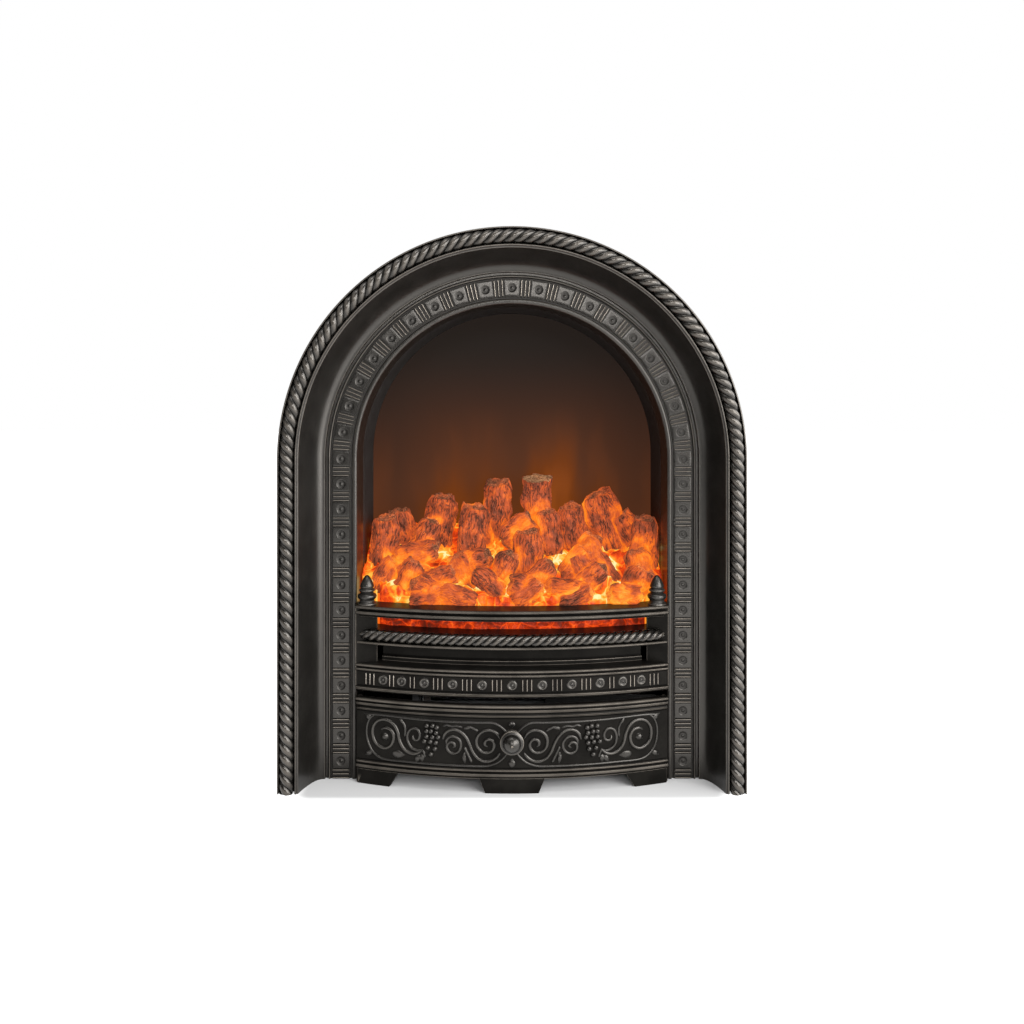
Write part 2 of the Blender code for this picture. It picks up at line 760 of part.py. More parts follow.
def add_bars(bm, frame, across, height, along=BAR_GROUP):
    """The block of bars that parts two studs, as one raised pad."""
    add_block(bm, frame, (along, across, height + SINK), (height - SINK) / 2)


def add_stud(bm, frame, radius, height, base):
    """A six-sided button."""
    bmesh.ops.create_cone(
        bm,
        cap_ends=True,
        segments=6,
        radius1=radius,
        radius2=radius * 0.45,
        depth=height + SINK,
        matrix=frame @ Matrix.Translation((0, 0, base + (height - SINK) / 2)),
    )


def stud_band():
    """The strip of studs and bars that fills the inner arch's channel."""
    low, high = OPENING_RADIUS + BAND_EDGE_GAP, BAND_RADIUS - CLEARANCE - 0.0061
    base = CHANNEL_DEPTH - CLEARANCE
    front = base - STRIP_THICKNESS
    strip = arch_sweep(
        "stud_band", "cast_black", [(high, base), (high, front), (low, front), (low, base)], CLEARANCE
    )
    places = stud_places()
    across = high - low - 2 * BAR_MARGIN
    relief = bmesh.new()
    for place in places:
        add_stud(relief, along_band(*place, front), STUD_RADIUS, STUD_HEIGHT, 0.0)
    for ends in zip(places, places[1:], strict=False):
        between = [(a + b) / 2 for a, b in zip(*ends, strict=True)]
        add_bars(relief, along_band(*between, front), across, BAR_HEIGHT)
    return finish(joined(strip, object_from_bmesh("band_relief", relief, "cast_black")), 30)


def top_rail():
    """Shelf with a double bead along its front."""
    top, low = TOP_RAIL_TOP, TOP_RAIL_TOP - TOP_RAIL_HEIGHT
    section = [
        (-TOP_RAIL_WIDTH, top - TOP_RAIL_SHELF),
        (-TOP_RAIL_WIDTH, top),
        (-0.0030, top),
        (-0.0006, top - 0.0008),
        (-0.0006, top - 0.0026),
        (-0.0032, top - 0.0042),
        (-0.0032, top - 0.0054),
        (0.0, top - 0.0066),
        (0.0, top - 0.0086),
        (-0.0040, low),
        (-0.0110, low),
        (-0.0130, top - TOP_RAIL_SHELF),
    ]
    return bow_sweep("top_rail", "cast_black", section, FRET_HALF_WIDTH)


def rope_rail():
    """Shelf behind the rope, with a bead under it and a trough that seats the rope."""
    centre = (ROPE_RAIL_TOP + ROPE_RAIL_BOTTOM) / 2 + 0.0017
    around = (RAIL_ROPE_RADIUS + CLEARANCE) / math.cos(math.radians(22.5))
    trough = [
        (
            -RAIL_ROPE_RADIUS + around * math.cos(math.radians(a)),
            centre + around * math.sin(math.radians(a)),
        )
        for a in (95, 135, 180, 225, 265)
    ]
    section = [
        (-ROPE_RAIL_WIDTH, ROPE_RAIL_TOP - 0.0070),
        (-ROPE_RAIL_WIDTH, ROPE_RAIL_TOP),
        (-0.0105, ROPE_RAIL_TOP + 0.0005),
        *trough,
        (-0.0028, trough[-1][1] - 0.0004),
        (-0.0028, ROPE_RAIL_BOTTOM + 0.0004),
        (-0.0045, ROPE_RAIL_BOTTOM),
        (-0.0160, ROPE_RAIL_BOTTOM),
        (-0.0185, ROPE_RAIL_TOP - 0.0070),
    ]
    return bow_sweep("rope_rail", "cast_black", section, FRET_HALF_WIDTH)


def stud_rail():
    """Shelf and studded apron over the ash pan cover."""
    top, low = STUD_RAIL_TOP, STUD_RAIL_BOTTOM
    panel = -0.0020
    section = [
        (-STUD_RAIL_WIDTH, top - 0.0040),
        (-STUD_RAIL_WIDTH, top),
        (-0.0025, top),
        (0.0, top - 0.0010),
        (0.0, top - 0.0028),
        (-0.0014, top - 0.0038),
        (-0.0014, top - 0.0050),
        (-0.0003, top - 0.0060),
        (-0.0003, top - 0.0074),
        (panel, top - 0.0084),
        (panel, low + 0.0058),
        (0.0, low + 0.0048),
        (0.0003, low + 0.0022),
        (-0.0015, low),
        (-STUD_RAIL_WALL, low),
        (-STUD_RAIL_WALL, top - 0.0040),
    ]
    rail = bow_sweep("stud_rail", "cast_black", section, FRET_HALF_WIDTH)
    mid = (section[9][1] + section[10][1]) / 2
    tall = section[9][1] - section[10][1] - 0.0030
    relief = bmesh.new()
    places = [-place for place in RAIL_STUD_PLACES[:0:-1]] + list(RAIL_STUD_PLACES)
    for place in places:
        add_stud(relief, on_bow(place, mid, panel), RAIL_STUD_RADIUS, RAIL_STUD_HEIGHT, 0.0)
    for here, after in zip(places, places[1:], strict=False):
        width = BAR_GROUP if after - here > RAIL_BAR_ROOM else BAR_GROUP / 2
        add_bars(relief, on_bow((here + after) / 2, mid, panel), tall, BAR_HEIGHT, width)
    return joined(rail, object_from_bmesh("rail_relief", relief, "cast_black"))


def on_bow(along, z, forward=0.0):
    """Frame on the bowed front at an arc length from its middle: local Z to the front, local Y up."""
    angle = along / BOW_RADIUS
    radius = BOW_RADIUS + forward
    x = radius * math.sin(angle)
    y = y_at(BOW_CENTRE_DEPTH + BOW_RADIUS - radius * math.cos(angle))
    return (
        Matrix.Translation((x, y, z))
        @ Matrix.Rotation(angle, 4, "Z")
        @ Matrix.Rotation(math.radians(90), 4, "X")
    )


def cheek(side):
    """A side plate of the grate front, with its return into the opening."""
    face = bow_depth(FRET_HALF_WIDTH) + 0.0006
    outer, inner = FRET_HALF_WIDTH, FRET_HALF_WIDTH - CHEEK_WIDTH
    plan = [
        (outer, face),
        (inner, face + CHEEK_SLOPE),
        (inner, face + CHEEK_SLOPE + CHEEK_WALL),
        (outer - CHEEK_RETURN_WALL, face + CHEEK_WALL + 0.0012),
        (outer - CHEEK_RETURN_WALL, CHEEK_RETURN_DEPTH),
        (outer, CHEEK_RETURN_DEPTH),
    ]
    ring = [(side * x, depth) for x, depth in plan]
    z = (STUD_RAIL_BOTTOM + 0.0010, TOP_RAIL_TOP - 0.0010)
    return lying_plate(f"cheek_{side}", "cast_black", ring, z)


def fret():
    """The grate front: three bowed rails between two cheeks, one casting."""
    casting = joined(top_rail(), rope_rail(), stud_rail(), cheek(-1), cheek(1))
    holes = [
        rod(
            f"finial_hole_{side}",
            "cast_black",
            FINIAL_PIN_RADIUS + CLEARANCE,
            0.03,
            "z",
            (side * FINIAL_X, y_at(FINIAL_DEPTH), TOP_RAIL_TOP),
        )
        for side in (-1, 1)
    ]
    casting = cut(casting, *holes, *fret_screw_rods("fret_side", SCREW_RADIUS + CLEARANCE))
    casting.name = "fret"
    return finish(casting)


def rail_rope():
    """The smaller rope along the middle rail."""
    lobe_turn = math.tau / ROPE_STRANDS
    count = round(RAIL_ROPE_LOBES * lobe_turn / ROPE_TURN)
    centre = (ROPE_RAIL_TOP + ROPE_RAIL_BOTTOM) / 2 + 0.0017
    half = FRET_HALF_WIDTH - CHEEK_WALL
    path = bow_path(half, count, RAIL_ROPE_RADIUS, centre)
    tilts = [-ROPE_TURN * i for i in range(count + 1)]
    section = twist_section(RAIL_ROPE_RADIUS, ROPE_STRANDS)
    rope = swept("rail_rope", "cast_black", path, section, tilts)
    walls = boxes(
        "rail_rope_ends",
        "cast_black",
        [
            (
                sorted((side * (FRET_HALF_WIDTH + 0.01), side * (FRET_HALF_WIDTH - CHEEK_WIDTH))),
                (bow_depth(FRET_HALF_WIDTH) - 0.0060, 0.09),
                (ROPE_RAIL_BOTTOM - 0.02, ROPE_RAIL_TOP + 0.02),
            )
            for side in (-1, 1)
        ],
    )
    return finish(cut(rope, walls), 60)


def finial(name, side):
    """A turned acorn finial with a pin that drops into the top rail."""
    r, h = FINIAL_RADIUS, FINIAL_HEIGHT
    profile = [
        (0.0, h),
        (0.12 * r, 0.985 * h),
        (0.34 * r, 0.90 * h),
        (0.55 * r, 0.74 * h),
        (0.70 * r, 0.62 * h),
        (0.62 * r, 0.55 * h),
        (0.78 * r, 0.49 * h),
        (0.70 * r, 0.42 * h),
        (0.62 * r, 0.38 * h),
        (0.95 * r, 0.30 * h),
        (1.00 * r, 0.24 * h),
        (0.80 * r, 0.16 * h),
        (0.92 * r, 0.03 * h),
        (0.92 * r, 0.0),
        (FINIAL_PIN_RADIUS, 0.0),
        (FINIAL_PIN_RADIUS, -FINIAL_PIN_LENGTH),
        (0.0, -FINIAL_PIN_LENGTH),
    ]
    place = (side * FINIAL_X, y_at(FINIAL_DEPTH), TOP_RAIL_TOP + CLEARANCE)
    return turned(name, "cast_black", profile, place, steps=10)


def ashpan_cover():
    """The bowed cover on three feet, with end returns that slip into the opening."""
    top, panel = COVER_TOP, -COVER_PANEL_SINK
    section = [
        (-COVER_WALL - COVER_PANEL_SINK, top),
        (-0.0020, top),
        (0.0, top - 0.0010),
        (0.0, top - 0.0028),
        (-0.0018, top - 0.0040),
        (-0.0006, top - 0.0054),
        (-0.0006, top - 0.0072),
        (-0.0024, top - 0.0092),
        (-0.0012, COVER_PANEL_TOP + 0.0026),
        (-0.0012, COVER_PANEL_TOP + 0.0012),
        (panel, COVER_PANEL_TOP),
        (panel, COVER_PANEL_BOTTOM),
        (-0.0010, COVER_PANEL_BOTTOM - 0.0010),
        (-0.0010, COVER_PANEL_BOTTOM - 0.0028),
        (-0.0026, COVER_PANEL_BOTTOM - 0.0040),
        (0.0, SKIRT_TOP + 0.0034),
        (0.0, SKIRT_TOP + 0.0010),
        (-0.0028, SKIRT_TOP),
        (-0.0028, 0.0),
        (-COVER_WALL - COVER_PANEL_SINK, 0.0),
    ]
    cover = bow_sweep("ashpan_cover", "cast_black", section, COVER_HALF_WIDTH)
    returns = [
        box(
            f"cover_return_{side}",
            "cast_black",
            sorted((side * COVER_HALF_WIDTH, side * (COVER_HALF_WIDTH - COVER_RETURN_WALL))),
            (bow_depth(COVER_HALF_WIDTH) + 0.0050, COVER_RETURN_DEPTH),
            (CLEARANCE, COVER_TOP - 0.0030),
        )
        for side in (-1, 1)
    ]
    arches = []
    for side in (-1, 1):
        ring = [
            (side * (CENTRE_FOOT_HALF - 0.0006), -0.01),
            (side * CENTRE_FOOT_HALF, 0.0),
            (side * (CENTRE_FOOT_HALF + FOOT_TAPER * 0.7), SKIRT_BOTTOM),
            (side * (SIDE_FOOT_INNER_X - FOOT_TAPER), SKIRT_BOTTOM),
            (side * SIDE_FOOT_INNER_X, 0.0),
            (side * (SIDE_FOOT_INNER_X + 0.0006), -0.01),
        ]
        arches.append(standing_plate(f"foot_arch_{side}", "cast_black", ring, (-0.05, 0.1)))
    hole = rod(
        "knob_hole",
        "cast_black",
        KNOB_STEM_RADIUS + CLEARANCE,
        0.04,
        "y",
        (0.0, y_at(BOW_CENTRE_DEPTH), KNOB_Z),
    )
    return finish(cut(joined(cover, *returns), *arches, hole))


def cover_knob():
    """Domed knob on a dished base, with its stem through the cover."""
    seat = BOW_CENTRE_DEPTH + COVER_PANEL_SINK - CLEARANCE
    reach = KNOB_REACH - BOW_CENTRE_DEPTH + seat
    stem = COVER_WALL + KNOB_NUT_HEIGHT + 0.0020
    base, dome = KNOB_BASE_RADIUS, KNOB_DOME_RADIUS
    profile = [
        (0.0, reach),
        (0.14 * dome, reach - 0.0004),
        (0.22 * dome, reach - 0.0018),
        (0.62 * dome, reach - 0.0030),
        (0.92 * dome, reach - 0.0060),
        (dome, reach - 0.0085),
        (0.80 * dome, reach - 0.0115),
        (0.55 * dome, reach - 0.0130),
        (0.60 * dome, 0.0075),
        (0.90 * base, 0.0045),
        (base, 0.0028),
        (base, 0.0),
        (KNOB_STEM_RADIUS, 0.0),
        (KNOB_STEM_RADIUS, -stem),
        (0.0, -stem),
    ]
    return turned("cover_knob", "cast_black", profile, (0.0, y_at(seat), KNOB_Z), "y")


def knob_nut():
    """Hexagon nut behind the cover."""
    back = BOW_CENTRE_DEPTH + COVER_PANEL_SINK + COVER_WALL + CLEARANCE
    centre = (0.0, y_at(back + KNOB_NUT_HEIGHT / 2), KNOB_Z)
    nut = rod("knob_nut", "bare_steel", KNOB_NUT_RADIUS, KNOB_NUT_HEIGHT, "y", centre, 6)
    hole = rod("nut_hole", "bare_steel", KNOB_STEM_RADIUS + CLEARANCE, 0.02, "y", centre)
    return cut(nut, hole)


def frame_screw_places():
    """(x, z) of the four screws that clamp both arches to the case."""
    ring = FRAME_SCREW_RING
    rise = ring * math.sin(FRAME_SCREW_ANGLE)
    reach = ring * math.cos(FRAME_SCREW_ANGLE)
    return [
        (-ring, FRAME_SCREW_Z),
        (-reach, ARCH_CENTRE_Z + rise),
        (reach, ARCH_CENTRE_Z + rise),
        (ring, FRAME_SCREW_Z),
    ]


def frame_screw_rods(name, radius, depth, length):
    """Hole cutters from a depth backwards, one at each frame screw."""
    return [
        rod(f"{name}_{i}", "cast_black", radius, length, "y", (x, y_at(depth + length / 2), z), 8)
        for i, (x, z) in enumerate(frame_screw_places())
    ]


def fret_screw_rods(name, radius):
    """Hole cutters through the cheeks' returns and the reveal."""
    depth = CHEEK_RETURN_DEPTH - 0.0070
    return [
        rod(
            f"{name}_{side}",
            "cast_black",
            radius,
            0.0300,
            "x",
            (side * OPENING_RADIUS, y_at(depth), FRET_SCREW_Z),
            8,
        )
        for side in (-1, 1)
    ]


def rear_screw_places():
    """(x, z) of the rear cover's screws."""
    ring = CASE_RADIUS - CASE_FLANGE / 2
    rise, reach = ring * math.sin(REAR_SCREW_ANGLE), ring * math.cos(REAR_SCREW_ANGLE)
    return [
        (-ring, REAR_SCREW_Z),
        (-reach, ARCH_CENTRE_Z + rise),
        (reach, ARCH_CENTRE_Z + rise),
        (ring, REAR_SCREW_Z),
    ]


def screw(name, length, place, axis, flip=False):
    """A pan-head screw. Its head stands on the place, on the side that the axis points to."""
    profile = [
        (0.0, SCREW_HEAD),
        (0.6 * SCREW_HEAD_RADIUS, SCREW_HEAD),
        (SCREW_HEAD_RADIUS, 0.0),
        (SCREW_RADIUS, 0.0),
        (SCREW_RADIUS, -length),
        (0.0, -length),
    ]
    made = turned(name, "screw_black", profile, (0, 0, 0), "z", 6)
    turn = AXIS_TURNS[axis]
    if flip:
        turn = turn @ Matrix.Rotation(math.pi, 4, "X")
    made.matrix_world = Matrix.Translation(place) @ turn
    return made


def case_shell():
    """Arched steel wrapper with an inward flange at the back."""
    inner, outer = CASE_INNER_RADIUS, CASE_RADIUS
    section = [
        (outer, CASE_BACK_DEPTH),
        (outer, CASE_SHELL_DEPTH),
        (inner, CASE_SHELL_DEPTH),
        (inner, CASE_BACK_DEPTH - SHEET),
        (outer - CASE_FLANGE, CASE_BACK_DEPTH - SHEET),
        (outer - CASE_FLANGE, CASE_BACK_DEPTH),
    ]
    shell = arch_sweep("case_shell", "sheet_black", section, CASE_BOTTOM)
    hole, back = SCREW_RADIUS + CLEARANCE, y_at(CASE_BACK_DEPTH)
    holes = [
        rod(f"shell_hole_{i}", "sheet_black", hole, 0.01, "y", (x, back, z), 8)
        for i, (x, z) in enumerate(rear_screw_places())
    ]
    return finish(cut(shell, *holes))


def case_front():
    """Flat arched flange that the castings are screwed to."""
    front, back = CASE_FRONT_DEPTH, CASE_FRONT_DEPTH + SHEET
    inner, outer = CASE_FRONT_OPENING, CASE_FRONT_RADIUS
    section = [(outer, back), (outer, front), (inner, front), (inner, back)]
    flange = arch_sweep("case_front", "sheet_black", section, CASE_BOTTOM)
    holes = frame_screw_rods("front_hole", SCREW_RADIUS + CLEARANCE, front - 0.005, 0.01)
    return finish(cut(flange, *holes))


def case_base():
    """Floor plate of the case, notched for the legs of the reveal."""
    half, nose = CASE_INNER_RADIUS - CLEARANCE, FRET_HALF_WIDTH
    near, shoulder, far = CASE_SHELL_DEPTH, REVEAL_DEPTH + CLEARANCE, DECK_BACK_DEPTH
    right = [(nose, near), (nose, shoulder), (half, shoulder), (half, far)]
    outline = right + [(-x, depth) for x, depth in reversed(right)]
    return lying_plate("case_base", "sheet_black", outline, (CASE_BOTTOM, BASE_TOP))


def louvre_cells():
    """Slots of the rear cover: an air inlet behind the fan and vents at the top."""
    deep = (REAR_COVER_DEPTH - 0.005, REAR_FACE_DEPTH + 0.005)
    cells = []
    for base, rows in ((0.0300, 5), (0.4300, 3)):
        for row in range(rows):
            z = base + LOUVRE_PITCH * row
            for middle in (-0.0400, 0.0400):
                x = (middle - LOUVRE_WIDTH / 2, middle + LOUVRE_WIDTH / 2)
                cells.append((x, deep, (z, z + LOUVRE_HEIGHT)))
    return cells


def rear_cover():
    """Arched back plate with louvres, screw holes and the cable hole."""
    outline = arch_outline(CASE_RADIUS, CASE_BOTTOM)
    cover = standing_plate("rear_cover", "sheet_black", outline, (REAR_COVER_DEPTH, REAR_FACE_DEPTH))
    middle = y_at((REAR_COVER_DEPTH + REAR_FACE_DEPTH) / 2)
    holes = [
        rod(f"rear_hole_{i}", "sheet_black", SCREW_RADIUS + CLEARANCE, 0.01, "y", (x, middle, z), 8)
        for i, (x, z) in enumerate(rear_screw_places())
    ]
    neck, place = GLAND_NECK_RADIUS + CLEARANCE, (GLAND_X, middle, GLAND_Z)
    holes.append(rod("gland_hole", "sheet_black", neck, 0.01, "y", place, SEGMENTS))
    return cut(cover, *holes, boxes("louvres", "sheet_black", louvre_cells()))


def cable_gland():
    """Grommet with the cable's bore, clamped in the rear cover."""
    inside = REAR_COVER_DEPTH - CLEARANCE
    outside = REAR_FACE_DEPTH + CLEARANCE
    span = outside - inside
    profile = [
        (GLAND_BORE_RADIUS, GLAND_FLANGE),
        (GLAND_FLANGE_RADIUS, GLAND_FLANGE),
        (GLAND_FLANGE_RADIUS, 0.0),
        (GLAND_NECK_RADIUS, 0.0),
        (GLAND_NECK_RADIUS, -span),
        (GLAND_FLANGE_RADIUS, -span),
        (GLAND_FLANGE_RADIUS, -span - GLAND_FLANGE),
        (GLAND_BORE_RADIUS, -span - GLAND_FLANGE),
        (GLAND_BORE_RADIUS, GLAND_FLANGE),
    ]
    return turned("cable_gland", "rubber", profile, (GLAND_X, y_at(inside), GLAND_Z), "y")


def rubber_foot(name, x, depth):
    """Turned rubber foot under the base plate."""
    top = CASE_BOTTOM - CLEARANCE
    profile = [
        (0.0, top),
        (FOOT_RADIUS, top),
        (0.85 * FOOT_RADIUS, 0.0),
        (0.0, 0.0),
    ]
    return turned(name, "rubber", profile, (x, y_at(depth), 0.0))


def chamber_liner():
    """Arched lining sheet between the reveal and the screen."""
    front, back = REVEAL_DEPTH + CLEARANCE, SCREEN_DEPTH - CLEARANCE
    inner, outer = OPENING_RADIUS, OPENING_RADIUS + LINER_WALL
    section = [(outer, back), (outer, front), (inner, front), (inner, back)]
    return finish(arch_sweep("chamber_liner", "sheet_black", section, FLOOR_OF_CHAMBER))


def flame_screen():
    """Translucent arched panel that closes the back of the chamber."""
    outline = arch_outline(OPENING_RADIUS + LINER_WALL, FLOOR_OF_CHAMBER)
    depth = (SCREEN_DEPTH, SCREEN_DEPTH + SCREEN_THICKNESS)
    return standing_plate("flame_screen", "screen", outline, depth)


def flame_shape(middle, width, height):
    """Outline of one flame-shaped window, (x, z)."""
    base = FLOOR_OF_CHAMBER + FLAME_LIFT
    right = [(0.0, 1.0), (0.22, 0.80), (0.16, 0.62), (0.46, 0.38), (0.38, 0.16), (0.16, 0.0)]
    left = [(-0.16, 0.0), (-0.42, 0.20), (-0.36, 0.42), (-0.14, 0.58), (-0.20, 0.78)]
    return [(middle + width * x, base + height * z) for x, z in right + left]


def flame_mask():
    """Thin plate with flame-shaped windows, behind the screen."""
    front = SCREEN_DEPTH + SCREEN_THICKNESS + MASK_GAP
    half = SPINNER_HALF
    low, high = FLOOR_OF_CHAMBER, FLOOR_OF_CHAMBER + MASK_HEIGHT
    outline = [(-half, low), (-half, high), (half, high), (half, low)]
    holes = [flame_shape(FLAME_PITCH * (i - 2), FLAME_WIDTH, height) for i, height in enumerate(FLAME_HEIGHTS)]
    return standing_plate("flame_mask", "bare_steel", outline, (front, front + MASK_THICKNESS), holes)


def deck():
    """Folded shelf over the heater: it carries the liner, the screen and the fuel bed."""
    side = CASE_INNER_RADIUS - CLEARANCE
    nose = FRET_HALF_WIDTH - 0.0006
    shoulder = REVEAL_DEPTH + CLEARANCE
    setback = STUD_RAIL_WIDTH + 0.0060
    bow = [(x, y - FRONT_Y) for x, y, _ in bow_path(BED_SIDE_X - 0.0060, BOW_STEPS, setback)]
    step = BED_STEP_DEPTH
    outline = [
        *bow,
        (bow[-1][0], step),
        (nose, step),
        (nose, shoulder),
        (side, shoulder),
        (side, DECK_BACK_DEPTH),
        (-side, DECK_BACK_DEPTH),
        (-side, shoulder),
        (-nose, shoulder),
        (-nose, step),
        (bow[0][0], step),
    ]
    x, (near, far) = LIGHT_CAVITY_X, LIGHT_CAVITY_DEPTHS
    window = [(-x, near), (x, near), (x, far), (-x, far)]
    top = lying_plate("deck", "sheet_black", outline, (DECK_TOP - SHEET, DECK_TOP), [window])
    legs = [
        box(
            f"deck_leg_{s}",
            "sheet_black",
            sorted((s * side, s * (side - SHEET))),
            (shoulder, DECK_BACK_DEPTH),
            (BASE_TOP + CLEARANCE, DECK_TOP - SHEET / 2),
        )
        for s in (-1, 1)
    ]
    return joined(top, *legs)


def air_deflector():
    """Bowed slotted plate seen between the middle and lower rails."""
    low, high = STUD_RAIL_TOP + CLEARANCE, ROPE_RAIL_TOP - 0.0070 - CLEARANCE
    back = -STUD_RAIL_WIDTH + 0.0010
    section = [
        (back, low),
        (back, high),
        (back + 0.0020, high),
        (back + 0.0020, low + 0.0065),
        (back + 0.0045, low + 0.0050),
        (back + 0.0045, low),
    ]
    plate_bar = bow_sweep("air_deflector", "cast_matt", section, BED_SIDE_X - 0.0030)
    z = (low + DEFLECTOR_SLOT_LIFT, low + DEFLECTOR_SLOT_LIFT + DEFLECTOR_SLOT_HEIGHT)
    middles = [DEFLECTOR_SLOT_PITCH * (i - (DEFLECTOR_SLOTS - 1) / 2) for i in range(DEFLECTOR_SLOTS)]
    slots = boxes(
        "deflector_slots",
        "cast_matt",
        [
            (
                (middle - DEFLECTOR_SLOT_WIDTH / 2, middle + DEFLECTOR_SLOT_WIDTH / 2),
                (0.0, 0.09),
                z,
            )
            for middle in middles
        ],
    )
    return finish(cut(plate_bar, slots))


def slope_height(depth):
    """Height of the plain slope at a depth."""
    return BED_FRONT_TOP + max(0.0, BED_RISE * (depth - BED_SETBACK))


def bed_height(x, depth, rng):
    """Height of the lumpy ember slope at a place."""
    waves = math.sin(math.tau * x / BED_WAVE_X + 1.3) * math.sin(math.tau * depth / BED_WAVE_DEPTH + 0.4)
    return slope_height(depth) + BED_LUMP * (waves + rng.uniform(-0.7, 0.7))


# Charred logs: name, share of the bed's half width, share of the way from its front to the screen, then in
# log radii how deep the foot is sunk, the length and the thickness, then the lean to the right and back
LOOSE_LOGS = (
    ("log_tall", 0.189, 0.765, 0.5, 5.5, 1.07, 0, 0),
    ("log_back_left", -0.105, 0.809, 0.69, 5.0, 1.0, 3, 0),
    ("log_left", -0.511, 0.729, 0.91, 4.62, 1.03, 6, 4),
    ("log_right", 0.732, 0.692, 1.09, 5.0, 1.19, -15, 4),
    ("log_centre", 0.105, 0.398, 0.69, 3.38, 1.07, 0, 6),
    ("log_far_right", 0.889, 0.319, 0.72, 4.12, 0.94, 3, 3),
    ("log_far_left", -0.889, 0.407, 0.59, 3.62, 0.94, 5, 3),
    ("log_front", 0.494, 0.063, -0.06, 2.75, 0.78, -84, 0),
)
MOULDED_LOGS = (
    (-0.743, 0.731, 0.88, 3.12, 0.88, -12, 5),
    (-0.784, 0.296, -0.69, 3.0, 0.78, 76, 0),
    (-0.581, 0.148, 0.31, 2.5, 0.81, 62, 0),
    (-0.29, 0.546, 0.94, 3.5, 0.94, 4, 6),
    (-0.25, 0.261, 0.94, 2.62, 0.88, -28, 8),
    (0.441, 0.711, 0.38, 2.94, 0.94, -10, 4),
    (0.685, 0.244, 1.31, 3.5, 0.75, -32, 8),
    (0.557, 0.23, 0.81, 2.75, 0.75, -30, 6),
)


def log_bmesh(place, grow, seed):
    """A knobbly log. grow fattens it, for the socket that it stands in."""
    across, share, sunk, length, radius, lean, back = place
    x, length, radius = across * BED_HALF, length * LOG_RADIUS, radius * LOG_RADIUS
    front = bow_depth(x, BED_SETBACK)
    depth = front + share * (SCREEN_DEPTH - front)
    foot = slope_height(depth) - sunk * LOG_RADIUS
    rng = random.Random(seed)
    bm = bmesh.new()
    bmesh.ops.create_cone(
        bm, cap_ends=True, segments=LOG_SIDES, radius1=radius, radius2=radius, depth=length
    )
    sides = [e for e in bm.edges if abs(e.verts[0].co.z - e.verts[1].co.z) > length / 2]
    bmesh.ops.subdivide_edges(bm, edges=sides, cuts=1)
    for vert in bm.verts:
        shrink = rng.uniform(0.86, 1.0)
        vert.co.x *= shrink
        vert.co.y *= shrink
        vert.co.z += rng.uniform(-0.0020, 0.0020)
    for vert in bm.verts:
        reach = math.hypot(vert.co.x, vert.co.y)
        vert.co.x *= (reach + grow) / reach
        vert.co.y *= (reach + grow) / reach
        if abs(vert.co.z) > length / 4:
            vert.co.z += math.copysign(grow, vert.co.z)
    bmesh.ops.triangulate(bm, faces=bm.faces)
    stand = (
        Matrix.Translation((x, y_at(depth), foot))
        @ Matrix.Rotation(math.radians(lean), 4, "Y")
        @ Matrix.Rotation(math.radians(-back), 4, "X")
        @ Matrix.Translation((0, 0, length / 2))
    )
    bmesh.ops.transform(bm, matrix=stand, verts=bm.verts)
    return bm


def bed_outline():
    """Plan of the fuel bed: bowed front between the cheeks, full width behind them."""
    bow = [(x, y - FRONT_Y) for x, y, _ in bow_path(BED_SIDE_X, BOW_STEPS, BED_SETBACK)]
    side = BED_HALF
    back = SCREEN_DEPTH - CLEARANCE
    return [
        *bow,
        (BED_SIDE_X, BED_STEP_DEPTH),
        (side, BED_STEP_DEPTH),
        (side, back),
        (-side, back),
        (-side, BED_STEP_DEPTH),
        (-BED_SIDE_X, BED_STEP_DEPTH),
    ]


def fuel_bed():
    """Translucent moulding of embers and logs, hollow underneath for the light."""
    rng = random.Random(5)
    bm = bmesh.new()
    bmesh.ops.create_grid(bm, x_segments=13, y_segments=5, size=1.0)
    near, far = BED_SETBACK - 0.0060, SCREEN_DEPTH + 0.0090
    for vert in bm.verts:
        x = vert.co.x * OPENING_RADIUS * 1.05
        depth = (near + far) / 2 + vert.co.y * (far - near) / 2
        vert.co = (x, y_at(depth), bed_height(x, depth, rng))
    top = bm.faces[:]
    under = bmesh.ops.extrude_face_region(bm, geom=top)
    lowered = [v for v in under["geom"] if isinstance(v, bmesh.types.BMVert)]
    for vert in lowered:
        vert.co.z = BASE_TOP
    bmesh.ops.recalc_face_normals(bm, faces=bm.faces)
    slope = object_from_bmesh("fuel_bed", bm, "ember")
    plan = lying_plate("bed_plan", "ember", bed_outline(), (FLOOR_OF_CHAMBER, ARCH_CENTRE_Z))
    bed = combine(slope, plan, "INTERSECT")
    for i, place in enumerate(MOULDED_LOGS):
        bed = joined(bed, object_from_bmesh(f"moulded_log_{i}", log_bmesh(place, 0.0, 40 + i), "ember"))
    for i, (name, *place) in enumerate(LOOSE_LOGS):
        socket = log_bmesh(place, CLEARANCE + 0.0001, 10 + i)
        bed = cut(bed, object_from_bmesh(f"socket_of_{name}", socket, "ember"))
    x, upper_x = LIGHT_CAVITY_X, UPPER_CAVITY_X
    cavity = box("light_cavity", "ember", (-x, x), LIGHT_CAVITY_DEPTHS, (BASE_TOP, LIGHT_CAVITY_TOP))
    upper = box("upper_cavity", "ember", (-upper_x, upper_x), UPPER_CAVITY_DEPTHS, (FLOOR_OF_CHAMBER, UPPER_CAVITY_TOP))
    return finish(cut(bed, cavity, upper), 50)


def loose_logs():
    for i, (name, *place) in enumerate(LOOSE_LOGS):
        finish(object_from_bmesh(name, log_bmesh(place, 0.0, 10 + i), "bark"), 50)


